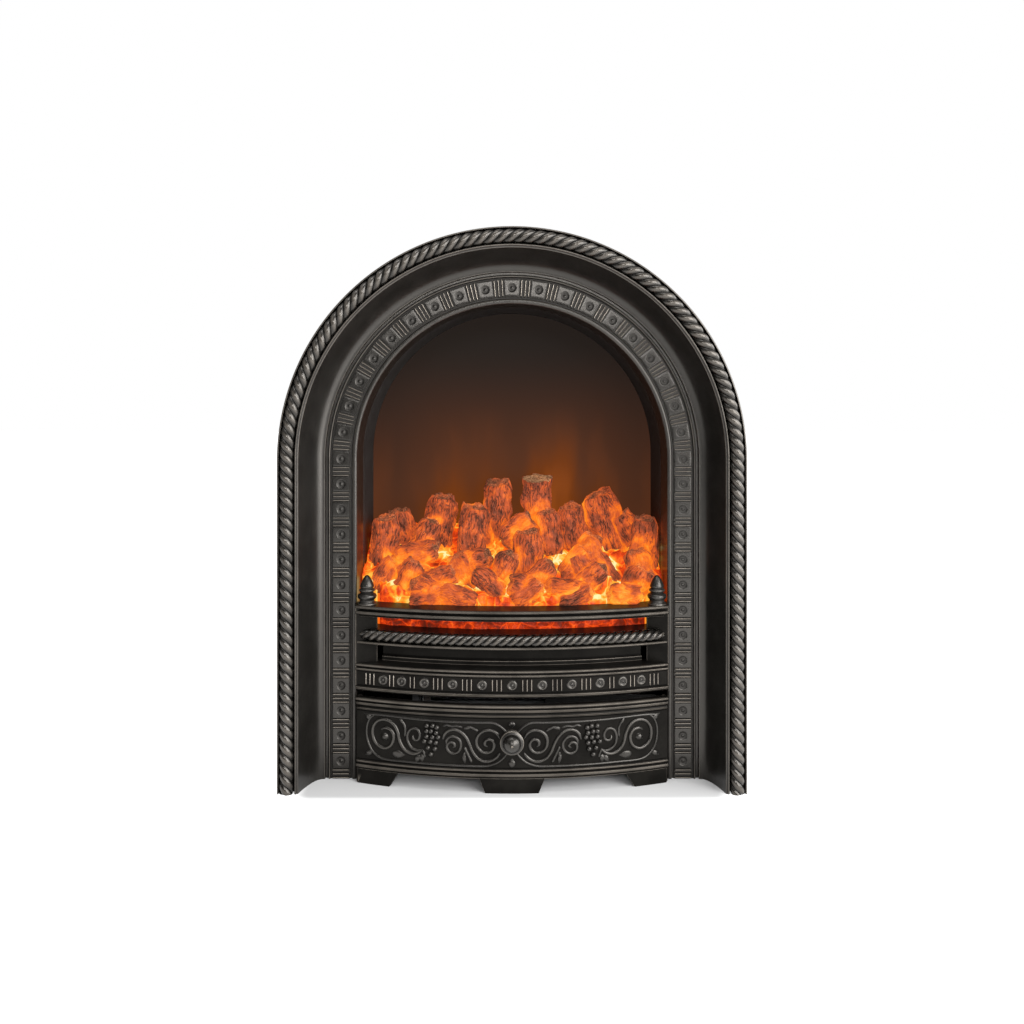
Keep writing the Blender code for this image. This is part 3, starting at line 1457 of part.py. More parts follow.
def spinner():
    """Thin rod with reflecting flags set round it, turned by the small motor."""
    axis = (0.0, y_at(SPINNER_DEPTH), SPINNER_Z)
    left, right = -BRACKET_X - SHEET - 0.0020, BRACKET_X + SHEET + MOTOR_SOCKET
    middle = ((left + right) / 2, axis[1], axis[2])
    body = rod("spinner", "aluminium", SPINNER_ROD_RADIUS, right - left, "x", middle, 8)
    pitch = 2 * SPINNER_HALF / FLAGS
    for i in range(FLAGS):
        bm = bmesh.new()
        place = (
            Matrix.Translation((pitch * (i - (FLAGS - 1) / 2), axis[1], axis[2]))
            @ Matrix.Rotation(math.radians(50 * i), 4, "X")
            @ Matrix.Diagonal((0.7 * pitch, 0.0010, 2 * FLAG_REACH, 1.0))
        )
        bmesh.ops.create_cube(bm, size=1.0, matrix=place)
        body = joined(body, object_from_bmesh(f"flag_{i}", bm, "aluminium"))
    return body


def spinner_bracket():
    """Channel on the deck with an upturned ear at each end of the spinner."""
    near, far = SPINNER_DEPTH - BRACKET_HALF, SPINNER_DEPTH + BRACKET_HALF
    base = FLOOR_OF_CHAMBER
    ends = BRACKET_X + SHEET
    channel = box("spinner_bracket", "bare_steel", (-ends, ends), (near, far), (base, base + SHEET))
    ears = [
        box(
            f"ear_{s}",
            "bare_steel",
            sorted((s * BRACKET_X, s * ends)),
            (near, far),
            (base, SPINNER_Z + BRACKET_HALF),
        )
        for s in (-1, 1)
    ]
    bore = rod(
        "ear_bore",
        "bare_steel",
        SPINNER_ROD_RADIUS + CLEARANCE,
        0.4,
        "x",
        (0.0, y_at(SPINNER_DEPTH), SPINNER_Z),
        10,
    )
    return cut(joined(channel, *ears), bore)


def spinner_motor():
    """Geared motor on the outside of the right ear."""
    face = BRACKET_X + SHEET + CLEARANCE
    centre = (face + SPINNER_MOTOR_LENGTH / 2, y_at(SPINNER_DEPTH), SPINNER_Z)
    body = rod("spinner_motor", "bare_steel", SPINNER_MOTOR_RADIUS, SPINNER_MOTOR_LENGTH, "x", centre, 14)
    socket = rod(
        "motor_socket",
        "bare_steel",
        SPINNER_ROD_RADIUS + CLEARANCE,
        2 * MOTOR_SOCKET,
        "x",
        (face, y_at(SPINNER_DEPTH), SPINNER_Z),
        8,
    )
    return finish(cut(body, socket))


def led_board(name, half, depth, low, lamps):
    """Circuit board strip with a row of square light emitters."""
    board = box(name, "board", (-half, half), depth, (low, low + BOARD_THICKNESS))
    middle = (depth[0] + depth[1]) / 2
    reach = min(LAMP_SIZE / 2, 0.35 * (depth[1] - depth[0]))
    for i in range(lamps):
        x = 2 * half * (i - (lamps - 1) / 2) / lamps
        lamp = box(
            f"{name}_lamp_{i}",
            "white_plastic",
            (x - LAMP_SIZE / 2, x + LAMP_SIZE / 2),
            (middle - reach, middle + reach),
            (low + BOARD_THICKNESS - SINK, low + BOARD_THICKNESS + LAMP_HEIGHT),
        )
        board = joined(board, lamp)
    return board


def heater_duct():
    """Folded steel duct, open at the back for the fan and at the front for the warm air."""
    x, near, far = DUCT_HALF, DUCT_FRONT_DEPTH, DUCT_BACK_DEPTH
    low, high = BASE_TOP + CLEARANCE, DUCT_TOP
    duct = box("heater_duct", "bare_steel", (-x, x), (near, far), (low, high))
    inside = box(
        "duct_inside",
        "bare_steel",
        (-x + SHEET, x - SHEET),
        (near + SHEET, far - SHEET),
        (low + SHEET, high - SHEET),
    )
    outlet = box(
        "duct_outlet",
        "bare_steel",
        (-x + DUCT_LIP, x - DUCT_LIP),
        (near - DUCT_LIP, near + DUCT_LIP),
        (OUTLET_BOTTOM, high - OUTLET_LIP),
    )
    inlet = box(
        "duct_inlet",
        "bare_steel",
        (-x + DUCT_LIP, x - DUCT_LIP),
        (far - DUCT_LIP, far + DUCT_LIP),
        (INLET_BOTTOM, high - INLET_LIP),
    )
    bores = rod(
        "duct_bores", "bare_steel", FAN_SHAFT_RADIUS + CLEARANCE, 0.4, "x", (0.0, y_at(FAN_DEPTH), FAN_Z), 10
    )
    return cut(duct, inside, outlet, inlet, bores)


def fan_impeller():
    """Cross-flow drum: three discs, a ring of slanted blades and the shaft."""
    y = y_at(FAN_DEPTH)
    left, right = -DUCT_HALF - 0.0020, DUCT_HALF + MOTOR_SOCKET
    middle = ((left + right) / 2, y, FAN_Z)
    body = rod("fan_impeller", "aluminium", FAN_SHAFT_RADIUS, right - left, "x", middle, 10)
    for i, x in enumerate((-FAN_HALF, 0.0, FAN_HALF)):
        disc = rod(f"fan_disc_{i}", "aluminium", FAN_RADIUS, 0.0016, "x", (x, y, FAN_Z), FAN_BLADES)
        body = joined(body, disc)
    bm = bmesh.new()
    for i in range(FAN_BLADES):
        place = (
            Matrix.Translation((0, y, FAN_Z))
            @ Matrix.Rotation(math.tau * (i + 0.5) / FAN_BLADES, 4, "X")
            @ Matrix.Translation((0, 0, FAN_RADIUS * 0.84))
            @ Matrix.Rotation(math.radians(28), 4, "X")
            @ Matrix.Diagonal((2 * FAN_HALF, 0.0010, FAN_RADIUS * 0.22, 1.0))
        )
        bmesh.ops.create_cube(bm, size=1.0, matrix=place)
    return joined(body, object_from_bmesh("fan_blades", bm, "aluminium"))


def fan_motor():
    """Shaded-pole motor on the right end of the duct."""
    face = DUCT_HALF + CLEARANCE
    y = y_at(FAN_DEPTH)
    body = rod(
        "fan_motor",
        "bare_steel",
        FAN_MOTOR_RADIUS,
        FAN_MOTOR_LENGTH,
        "x",
        (face + FAN_MOTOR_LENGTH / 2, y, FAN_Z),
        16,
    )
    core = box(
        "motor_core",
        "bare_steel",
        (face + MOTOR_CORE_INSET, face + MOTOR_CORE_INSET + MOTOR_CORE_LENGTH),
        (FAN_DEPTH - MOTOR_CORE_HALF, FAN_DEPTH + MOTOR_CORE_HALF),
        (FAN_Z - MOTOR_CORE_HALF, FAN_Z + MOTOR_CORE_HALF),
    )
    socket = rod(
        "fan_socket", "bare_steel", FAN_SHAFT_RADIUS + CLEARANCE, 2 * MOTOR_SOCKET, "x", (face, y, FAN_Z), 10
    )
    return finish(cut(joined(body, core), socket))


def heating_coil():
    """Resistance wire wound to and fro across the outlet, on its two end posts."""
    passes, z0, z1 = 4, OUTLET_BOTTOM + 0.0030, DUCT_TOP - 0.0100
    half = DUCT_HALF - 0.0160
    points = []
    for i in range(passes):
        z = z0 + (z1 - z0) * i / (passes - 1)
        ends = (-half, half) if i % 2 == 0 else (half, -half)
        points += [(ends[0], y_at(COIL_DEPTH), z), (ends[1], y_at(COIL_DEPTH), z)]
    wire = poly_curve("heating_coil", points)
    wire.data.materials.append(material("resistance_wire"))
    wire.data.bevel_depth = COIL_RADIUS
    wire.data.bevel_resolution = 0
    wire.data.use_fill_caps = True
    wire = settle(wire)
    low = BASE_TOP + 2 * CLEARANCE + SHEET
    high = DUCT_TOP - SHEET - CLEARANCE
    posts = [
        box(
            f"coil_post_{i}",
            "resistance_wire",
            (x - 0.0040, x + 0.0040),
            (COIL_DEPTH - 0.0012, COIL_DEPTH + 0.0012),
            (low, high),
        )
        for i, x in enumerate((-half, 0.0, half))
    ]
    return joined(wire, *posts)


def thermal_cutout():
    """Safety cut-out button on top of the duct."""
    profile = [
        (0.0, 0.0090),
        (0.0030, 0.0090),
        (0.0030, 0.0060),
        (0.0080, 0.0055),
        (0.0085, 0.0),
        (0.0, 0.0),
    ]
    place = (CUTOUT_X, y_at(CUTOUT_DEPTH), DUCT_TOP + CLEARANCE)
    return turned("thermal_cutout", "black_plastic", profile, place)


def control_panel():
    """Folded switch plate on the base, reached once the ash pan cover is off."""
    low = BASE_TOP + CLEARANCE
    x, depth = (PANEL_LEFT, PANEL_RIGHT), (PANEL_DEPTH, PANEL_DEPTH + SHEET)
    face = box("control_panel", "sheet_black", x, depth, (low, PANEL_TOP))
    foot = box(
        "panel_foot",
        "sheet_black",
        (PANEL_LEFT, PANEL_RIGHT),
        (PANEL_DEPTH, PANEL_DEPTH + PANEL_FOOT),
        (low, low + SHEET),
    )
    windows = boxes(
        "panel_windows",
        "sheet_black",
        [
            (
                (x - ROCKER_WIDTH / 2 - CLEARANCE, x + ROCKER_WIDTH / 2 + CLEARANCE),
                (PANEL_DEPTH - 0.01, PANEL_DEPTH + 0.005),
                (ROCKER_Z - ROCKER_HEIGHT / 2 - 0.0006, ROCKER_Z + ROCKER_HEIGHT / 2 + 0.0006),
            )
            for x in ROCKER_X
        ],
    )
    dial_hole = rod(
        "dial_hole", "sheet_black", 0.0035, 0.02, "y", (DIAL_X, y_at(PANEL_DEPTH), ROCKER_Z), 12
    )
    return cut(joined(face, foot), windows, dial_hole)


def rocker(name, x):
    """A rocker switch cap, shown with its lower half pressed in."""
    mesh_name = name
    half, reach = ROCKER_HEIGHT / 2 - 0.0010, ROCKER_DEPTH / 2
    ring = [
        (-reach, -half),
        (-reach - 0.0012, 0.0),
        (-reach, half),
        (reach * 0.5, half * 0.55),
        (reach * 0.5, -half * 0.55),
    ]
    width = ROCKER_WIDTH
    cap = plate(mesh_name, "black_plastic", ring, width)
    to_side = Matrix.Rotation(math.radians(90), 4, "Z") @ Matrix.Rotation(math.radians(90), 4, "X")
    cap.data.transform(to_side)
    tilt = Matrix.Rotation(ROCKER_TILT / 2, 4, "X")
    cap.matrix_world = Matrix.Translation((x, y_at(PANEL_DEPTH + SHEET / 2), ROCKER_Z)) @ tilt
    return cap


def control_dial():
    """Heat control dial with a pointer rib and its spindle."""
    front = PANEL_DEPTH - CLEARANCE
    profile = [
        (0.0, DIAL_LENGTH),
        (0.80 * DIAL_RADIUS, DIAL_LENGTH),
        (0.88 * DIAL_RADIUS, DIAL_LENGTH - 0.0010),
        (DIAL_RADIUS, 0.0015),
        (DIAL_RADIUS, 0.0),
        (0.0030, 0.0),
        (0.0030, -0.0080),
        (0.0, -0.0080),
    ]
    dial = turned("control_dial", "black_plastic", profile, (DIAL_X, y_at(front), ROCKER_Z), "y")
    rib = box(
        "dial_rib",
        "black_plastic",
        (DIAL_X - 0.0010, DIAL_X + 0.0010),
        (front - DIAL_LENGTH - 0.0020, front - DIAL_LENGTH + 0.0010),
        (ROCKER_Z, ROCKER_Z + 0.75 * DIAL_RADIUS),
    )
    return joined(dial, rib)


def terminal_block():
    """Mains terminal block, three ways, on the base plate."""
    low, middle = BASE_TOP + CLEARANCE, CASE_BACK_DEPTH - TERMINAL_FROM_BACK
    (width, deep), (across, along, tall) = TERMINAL_SIZE, TERMINAL_TOWER
    top = low + TERMINAL_HEIGHT
    x, depth = (GLAND_X - width / 2, GLAND_X + width / 2), (middle - deep / 2, middle + deep / 2)
    block = box("terminal_block", "white_plastic", x, depth, (low, top))
    for i in (-1, 0, 1):
        at = GLAND_X + TERMINAL_PITCH * i
        x, depth = (at - across / 2, at + across / 2), (middle - along / 2, middle + along / 2)
        block = joined(block, box(f"terminal_{i}", "white_plastic", x, depth, (top - SINK, top + tall)))
    return block


def fixings():
    """Every screw of the object."""
    head_depth = CASE_FRONT_DEPTH + SHEET + CLEARANCE
    for i, (x, z) in enumerate(frame_screw_places()):
        screw(f"frame_screw_{i + 1}", 0.0075, (x, y_at(head_depth), z), "y", flip=True)
    for i, (x, z) in enumerate(rear_screw_places()):
        place = (x, y_at(REAR_FACE_DEPTH + CLEARANCE), z)
        screw(f"rear_screw_{i + 1}", REAR_SCREW_LENGTH, place, "y", flip=True)
    inside = FRET_HALF_WIDTH - CHEEK_RETURN_WALL - CLEARANCE
    depth = CHEEK_RETURN_DEPTH - 0.0070
    screw("fret_screw_left", 0.0065, (-inside, y_at(depth), FRET_SCREW_Z), "x")
    screw("fret_screw_right", 0.0065, (inside, y_at(depth), FRET_SCREW_Z), "x", flip=True)


def main():
    clear_scene()
    outer_arch()
    inner_arch()
    rope_moulding()
    stud_band()
    fret()
    rail_rope()
    finial("finial_left", -1)
    finial("finial_right", 1)
    ashpan_cover()
    cover_knob()
    knob_nut()
    case_shell()
    case_front()
    case_base()
    rear_cover()
    cable_gland()
    for i, (x, depth) in enumerate((s * FOOT_X, d) for s in (-1, 1) for d in FOOT_DEPTHS):
        rubber_foot(f"rubber_foot_{i + 1}", x, depth)
    chamber_liner()
    flame_screen()
    flame_mask()
    deck()
    air_deflector()
    fuel_bed()
    loose_logs()
    spinner()
    spinner_bracket()
    spinner_motor()
    led_board("flame_led_board", FLAME_BOARD_HALF, FLAME_BOARD_DEPTHS, FLOOR_OF_CHAMBER, 8)
    led_board("ember_led_board", EMBER_BOARD_HALF, EMBER_BOARD_DEPTHS, DUCT_TOP + CLEARANCE, 8)
    heater_duct()
    fan_impeller()
    fan_motor()
    heating_coil()
    thermal_cutout()
    control_panel()
    for i, x in enumerate(ROCKER_X):
        rocker(f"rocker_{i + 1}", x)
    control_dial()
    terminal_block()
    fixings()


main()
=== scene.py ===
"""Looks of the arched electric fire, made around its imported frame.

Cast pieces are modelled straight, as strips with x along, y across and z towards the viewer, and are
then bent round the arch or onto the bow of the grate.
"""

import math
import random

import bmesh
import bpy
import numpy as np
from bpy.props import FloatProperty, FloatVectorProperty, IntProperty, PointerProperty
from bpy.types import Operator, Panel, PropertyGroup
from mathutils import Matrix, Vector, noise


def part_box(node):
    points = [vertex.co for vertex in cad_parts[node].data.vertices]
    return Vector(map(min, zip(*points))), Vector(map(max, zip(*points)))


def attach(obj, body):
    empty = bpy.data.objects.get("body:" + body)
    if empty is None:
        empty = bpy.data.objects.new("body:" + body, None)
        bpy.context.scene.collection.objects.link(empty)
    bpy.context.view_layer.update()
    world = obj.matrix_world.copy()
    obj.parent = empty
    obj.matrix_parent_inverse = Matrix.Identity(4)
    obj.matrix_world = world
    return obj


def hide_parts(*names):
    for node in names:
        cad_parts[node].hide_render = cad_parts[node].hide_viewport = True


bl_info = {
    "name": "Arched Electric Fire",
    "version": (1, 0, 0),
    "blender": (4, 5, 0),
    "location": "View3D > Sidebar > Fire",
    "description": "Builds a cast arched electric fire with glowing logs around its frame",
    "category": "Object",
}

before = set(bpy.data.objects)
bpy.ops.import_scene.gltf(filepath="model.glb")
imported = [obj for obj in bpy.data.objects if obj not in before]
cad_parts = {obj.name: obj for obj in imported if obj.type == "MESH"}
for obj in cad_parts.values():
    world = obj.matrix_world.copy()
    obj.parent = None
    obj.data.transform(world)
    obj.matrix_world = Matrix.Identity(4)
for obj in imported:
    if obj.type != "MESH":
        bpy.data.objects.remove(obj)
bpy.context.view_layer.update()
FRONT_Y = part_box("rope_moulding")[0].y
IMAGE = 1024


def length(name, description, default):
    """A size in metres that a user can change."""
    return FloatProperty(name=name, description=description, default=default, unit="LENGTH", precision=5)


def colour(name, description, default):
    """A colour that a user can change."""
    return FloatVectorProperty(
        name=name, description=description, default=default, subtype="COLOR", size=3, min=0.0, max=1.0
    )


class FireSizes(PropertyGroup):
    """Sizes of the castings and the fuel bed."""

    arch_centre: length("Arch centre", "Height of the arch's centre", 0.3573)
    outer_radius: length("Outer radius", "Radius of the outer lip", 0.2525)
    rope_ring: length("Rope ring", "Radius of the rope's middle line", 0.2423)
    rope_radius: length("Rope radius", "Half the rope's thickness", 0.0081)
    rope_lobes: IntProperty(name="Rope lobes", description="Lobes of the frame's rope", default=132)
    cove_radius: length("Cove radius", "Outer radius of the cove", 0.2294)
    band_radius: length("Band radius", "Outer radius of the flat arch", 0.2087)
    opening_radius: length("Opening radius", "Radius of the chamber's mouth", 0.1734)
    band_depth: length("Band depth", "Depth of the flat arch behind the rope", 0.0475)
    frame_depth: length("Frame depth", "Depth of the rim against the wall", 0.0600)
    reveal_depth: length("Reveal depth", "Depth of the arch's inner reveal", 0.0965)
    stud_pitch: length("Stud pitch", "Pitch of the studs on the legs", 0.0281)
    stud_radius: length("Stud radius", "Radius of a stud's dish", 0.0050)
    bow_radius: length("Bow radius", "Radius of the bowed grate front in plan", 0.4844)
    bow_depth: length("Bow depth", "Depth of the bow at its middle", 0.0035)
    rail_rope_radius: length("Rail rope radius", "Half the thickness of the rail's rope", 0.0062)
    rail_rope_lobes: IntProperty(name="Rail rope lobes", description="Lobes of the rail's rope", default=38)
    vine_radius: length("Vine radius", "Half the thickness of the cover's scrolls", 0.0015)
    grape_radius: length("Grape radius", "Radius of a grape on the cover", 0.0030)


class FireColours(PropertyGroup):
    """Colours of the finishes."""

    cast: colour("Cast iron", "Blackened casting", (0.0050, 0.0046, 0.0040))
    worn: colour("Worn edge", "Rubbed edges of the casting", (0.36, 0.315, 0.265))
    sheet: colour("Sheet", "Black painted sheet", (0.0085, 0.0080, 0.0075))
    soot: colour("Soot", "Darkest tone of the fire", (0.030, 0.009, 0.005))
    # shaded and lit emission tones of the same bark, for the logs' painted light
    bark: colour("Bark", "Shaded bark", (0.17, 0.040, 0.019))
    lit_bark: colour("Scorch", "Lit bark", (0.58, 0.090, 0.020))
    crust: colour("Crust", "Red skin of the embers", (0.28, 0.016, 0.003))
    ember: colour("Ember", "Body of the glow", (0.85, 0.062, 0.005))
    flame: colour("Flame", "Bright veins of the glow", (1.0, 0.19, 0.010))
    blaze: colour("Blaze", "Yellow of the hot gaps", (1.0, 0.50, 0.045))
    white_heat: colour("White heat", "Hottest gaps of the glow", (1.0, 0.90, 0.42))
    screen_dark: colour("Dark screen", "Top of the flame screen", (0.0165, 0.0120, 0.0098))
    screen_glow: colour("Screen glow", "Flame glow low on the screen", (0.26, 0.058, 0.0060))


# Shader recipes


class Value:
    """A socket that takes arithmetic. Each operation adds its Math node."""

    def __init__(self, recipe, socket):
        self.recipe, self.socket = recipe, socket

    def math(self, operation, *terms):
        return self.recipe.node("Math", {"operation": operation}, dict(enumerate(terms)))

    def __add__(self, other):
        return self.math("ADD", self, other)

    def __sub__(self, other):
        return self.math("SUBTRACT", self, other)

    def __rsub__(self, other):
        return self.math("SUBTRACT", other, self)

    def __mul__(self, other):
        return self.math("MULTIPLY", self, other)

    __radd__, __rmul__ = __add__, __mul__

    def step(self, low, high, start=0.0, end=1.0):
        """Smooth change from start to end as the value goes from low to high."""
        settings = {"interpolation_type": "SMOOTHSTEP"}
        return self.recipe.node("MapRange", settings, {0: self, 1: low, 2: high, 3: start, 4: end})

    def clamp(self):
        return self.recipe.node("Clamp", {}, {0: self, 1: 0.0, 2: 1.0})


class Recipe:
    """A material under construction."""

    def __init__(self, name):
        self.material = bpy.data.materials.new(name)
        self.material.use_nodes = True
        self.tree = self.material.node_tree
        self.shader = self.tree.nodes["Principled BSDF"]
        self.out = self.tree.nodes["Material Output"]

    def node(self, kind, settings, values, output=0):
        """A node of a type, with its settings made first and then its sockets filled or linked."""
        made = self.tree.nodes.new("ShaderNode" + kind)
        for key, setting in settings.items():
            if key == "stops":
                self.set_stops(made.color_ramp, setting)
            else:
                setattr(made, key, setting)
        for key, value in values.items():
            self.fill(made.inputs[key], value)
        return Value(self, made.outputs[output])

    def set_stops(self, ramp, stops):
        while len(ramp.elements) < len(stops):
            ramp.elements.new(1.0)
        for element, (place, shade) in zip(ramp.elements, stops, strict=True):
            element.position, element.color = place, (*shade, 1.0)

    def fill(self, socket, value):
        if isinstance(value, Value):
            self.tree.links.new(value.socket, socket)
        elif socket.type == "RGBA" and len(tuple(value)) == 3:
            socket.default_value = (*value, 1.0)
        else:
            socket.default_value = value

    def principled(self, **values):
        """Fills the shader's sockets, named with underscores for spaces."""
        for key, value in values.items():
            self.fill(self.shader.inputs[key.replace("_", " ")], value)
        return self.material

    def place(self):
        return self.node("TexCoord", {}, {}, 3)

    def attribute(self, name, output="Fac"):
        return self.node("Attribute", {"attribute_name": name}, {}, output)

    def stretched(self, vector, scale):
        return self.node("Mapping", {}, {0: vector, 3: scale})

    def clouds(self, vector, scale, detail=4.0, rough=0.55):
        values = {"Vector": vector, "Scale": scale, "Detail": detail, "Roughness": rough}
        return self.node("TexNoise", {}, values)

    def cells(self, vector, scale):
        """Distance to the nearest seam between cells."""
        return self.node("TexVoronoi", {"feature": "DISTANCE_TO_EDGE"}, {"Vector": vector, "Scale": scale})

    def mix(self, share, first, second):
        return self.node("Mix", {"data_type": "RGBA"}, {0: share, 6: first, 7: second}, 2)

    def ramp(self, share, stops):
        return self.node("ValToRGB", {"stops": stops}, {0: share})

    def bump(self, height, distance, strength=1.0):
        return self.node("Bump", {}, {"Height": height, "Distance": distance, "Strength": strength})


MATERIALS = {}


def finish_named(name, maker, *details):
    """The finish of that name, mixed once."""
    if name not in MATERIALS:
        MATERIALS[name] = maker(name, bpy.context.scene.fire_colours, *details)
    return MATERIALS[name]


def toned(tone, share):
    """The tone, darkened or lightened."""
    return tuple(share * c for c in tone)


def cast_iron(name, shades, grain, wear, gloss, rough):
    """Blackened casting: sandy skin, ridges rubbed to warm grey metal, hollows in painted shade."""
    mix = Recipe(name)
    place = mix.place()
    patches = mix.clouds(place, 38.0, 5.0)
    sand = mix.clouds(place, 900.0, 3.0, 0.7)
    edge = mix.attribute("wear")
    rubbed = (edge.step(0.30, 1.00) * patches.step(0.30, 0.62, 0.60, 1.0) * wear).clamp()
    dark, pale = toned(shades.cast, 0.70), toned(shades.cast, 1.35)
    skin = mix.mix(patches.step(0.35, 0.70), dark, pale)
    # painted shade: hollows, rope grooves and the flat round the relief darkened to a quarter of the cast
    # tone
    skin = mix.mix(edge.step(-0.60, -0.05), toned(shades.cast, 0.25), skin)
    surface = mix.bump(sand * 0.7 + mix.clouds(place, 210.0, 4.0) * 0.9, 0.00020 * grain, 0.55)
    return mix.principled(
        Base_Color=mix.mix(rubbed, skin, shades.worn),
        Metallic=rubbed,
        Roughness=patches * 0.08 - rubbed * 0.08 + edge.step(-0.60, -0.05, 0.35, 0.0) + (rough - 0.04),
        Normal=surface,
        Specular_IOR_Level=gloss,
        Specular_Tint=(1.0, 0.94, 0.87),
    )


def arch_iron():
    """Finish of the plain arches."""
    return finish_named("cast_iron", cast_iron, 0.8, 0.14, 0.44, 0.32)


def relief_iron():
    """Finish of studs, bars, scrolls and turnings."""
    return finish_named("cast_relief", cast_iron, 0.4, 0.55, 0.44, 0.27)


def rope_iron():
    """Finish of the ropes."""
    return finish_named("cast_rope", cast_iron, 0.5, 0.12, 0.42, 0.19)


def grate_iron():
    """Finish of the rails and the cover."""
    return finish_named("cast_grate", cast_iron, 0.7, 0.26, 0.04, 0.30)


def black_sheet(name, shades):
    """Matt black painted sheet with a slight orange-peel."""
    mix = Recipe(name)
    place = mix.place()
    dust = mix.clouds(place, 60.0, 5.0)
    tone = mix.mix(dust.step(0.35, 0.75), shades.sheet, toned(shades.sheet, 1.9))
    peel = mix.bump(mix.clouds(place, 700.0, 2.0), 0.00008, 0.5)
    return mix.principled(
        Base_Color=tone, Roughness=dust * 0.14 + 0.50, Normal=peel, Metallic=0.0, Specular_IOR_Level=0.22
    )


def plain_metal(name, shades, tone, rough, streak):
    """Bare or plated metal with rolling marks along x."""
    mix = Recipe(name)
    place = mix.place()
    lines = mix.clouds(mix.stretched(place, (6.0, streak, streak)), 9.0, 4.0)
    stain = mix.clouds(place, 45.0, 4.0)
    shade = mix.mix(stain.step(0.35, 0.75), toned(tone, 0.78), tone)
    return mix.principled(
        Base_Color=shade,
        Metallic=1.0,
        Roughness=lines * 0.18 + stain * 0.10 + (rough - 0.10),
        Normal=mix.bump(lines, 0.00005, 0.35),
    )


def moulded(name, shades, tone, rough):
    """Moulded plastic or rubber with a fine spark-eroded skin."""
    mix = Recipe(name)
    place = mix.place()
    grain = mix.clouds(place, 1400.0, 2.0)
    cloud = mix.clouds(place, 50.0, 3.0)
    shade = mix.mix(cloud.step(0.3, 0.7), toned(tone, 0.82), tone)
    return mix.principled(
        Base_Color=shade,
        Roughness=cloud * 0.12 + (rough - 0.06),
        Normal=mix.bump(grain, 0.00004, 0.6),
        Metallic=0.0,
    )


def glow_tones(mix, share, *tones):
    """Colour of the lit resin, from its darkest tone to white heat."""
    places = (0.0, 0.18, 0.36, 0.52, 0.74, 1.0)
    return mix.ramp(share, list(zip(places, tones, strict=True)))


def warped(mix, grain, scale, reach):
    """The grain's coordinates pushed about by a soft noise."""
    push = mix.node("TexNoise", {}, {"Vector": grain, "Scale": scale, "Detail": 2.0}, 1)
    push = mix.node("VectorMath", {"operation": "SCALE"}, {0: push, "Scale": reach})
    return mix.node("VectorMath", {"operation": "ADD"}, {0: grain, 1: push})


def glowing(name, shades):
    """Translucent ember moulding, lit from inside: red lumps with bright seams between them."""
    mix = Recipe(name)
    grain = mix.attribute("grain", "Vector")
    heat = mix.attribute("warmth")
    bent = warped(mix, grain, 60.0, 0.012)
    seam = mix.cells(bent, 62.0).step(0.0, 0.10, 1.0, 0.0)
    thread = mix.cells(bent, 170.0).step(0.0, 0.07, 1.0, 0.0)
    body = mix.clouds(bent, 75.0, 4.0, 0.6).step(0.30, 0.70)
    lit = mix.node("SeparateXYZ", {}, {0: mix.place()}, 2).step(0.158, 0.166)
    share = (heat * 0.60 + body * 0.26 + seam * (heat * 0.22 + 0.10) + thread * body * 0.12) * lit
    share = share.clamp()
    lumps = mix.clouds(grain, 190.0, 6.0, 0.65) + seam * 0.5
    return mix.principled(
        Base_Color=mix.mix(share, (0.02, 0.006, 0.003), (0.08, 0.018, 0.004)),
        Roughness=0.55 - share * 0.2,
        Normal=mix.bump(lumps, 0.0014, 0.8),
        Emission_Color=glow_tones(
            mix, share, shades.soot, shades.crust, shades.ember, shades.flame, shades.blaze, shades.white_heat
        ),
        Emission_Strength=1.0,
        Specular_IOR_Level=0.1,
    )


def charred(name, shades):
    """Lit resin logs: brown bark in long wavy fibres over a red body, with bright cracks."""
    mix = Recipe(name)
    grain = mix.attribute("grain", "Vector")
    heat = mix.attribute("warmth")
    cut_end = mix.attribute("cut")
    bent = warped(mix, grain, 70.0, 0.006)
    long_way = mix.stretched(bent, (1.0, 1.0, 0.24))
    fibres = mix.clouds(long_way, 170.0, 5.0, 0.62)
    line = mix.node("Math", {"operation": "ABSOLUTE"}, {0: fibres - 0.5}).step(0.008, 0.040, 1.0, 0.0)
    body = mix.clouds(bent, 55.0, 4.0, 0.6).step(0.30, 0.70)
    light = mix.clouds(long_way, 620.0, 3.0, 0.6).step(0.35, 0.65)
    # painted light: the logs glow brighter near the gaps between them and low over the bed
    share = heat * 0.64 + body * 0.28 + light * 0.06 + 0.13 - line * (0.24 - heat * 0.90)
    share = (share - cut_end * 0.12).clamp()
    tan_end = mix.mix(light, (0.08, 0.036, 0.018), (0.36, 0.20, 0.10))
    skin = mix.mix(cut_end, mix.mix(light, (0.016, 0.006, 0.003), (0.060, 0.017, 0.008)), tan_end)
    lit = glow_tones(
        mix, share, shades.soot, shades.bark, shades.lit_bark, shades.flame, shades.blaze, shades.white_heat
    )
    lit_end = mix.mix(light, (0.060, 0.024, 0.010), (0.26, 0.125, 0.050))
    glow = mix.mix(cut_end * (0.45 + body * 0.35), lit, lit_end)
    relief = light * 0.4 - line * 0.9 + body * 0.6
    return mix.principled(
        Base_Color=skin,
        Roughness=0.62 - share * 0.15,
        Normal=mix.bump(relief, 0.0020, 0.9),
        Emission_Color=glow,
        Emission_Strength=1.0,
        Specular_IOR_Level=0.12,
    )


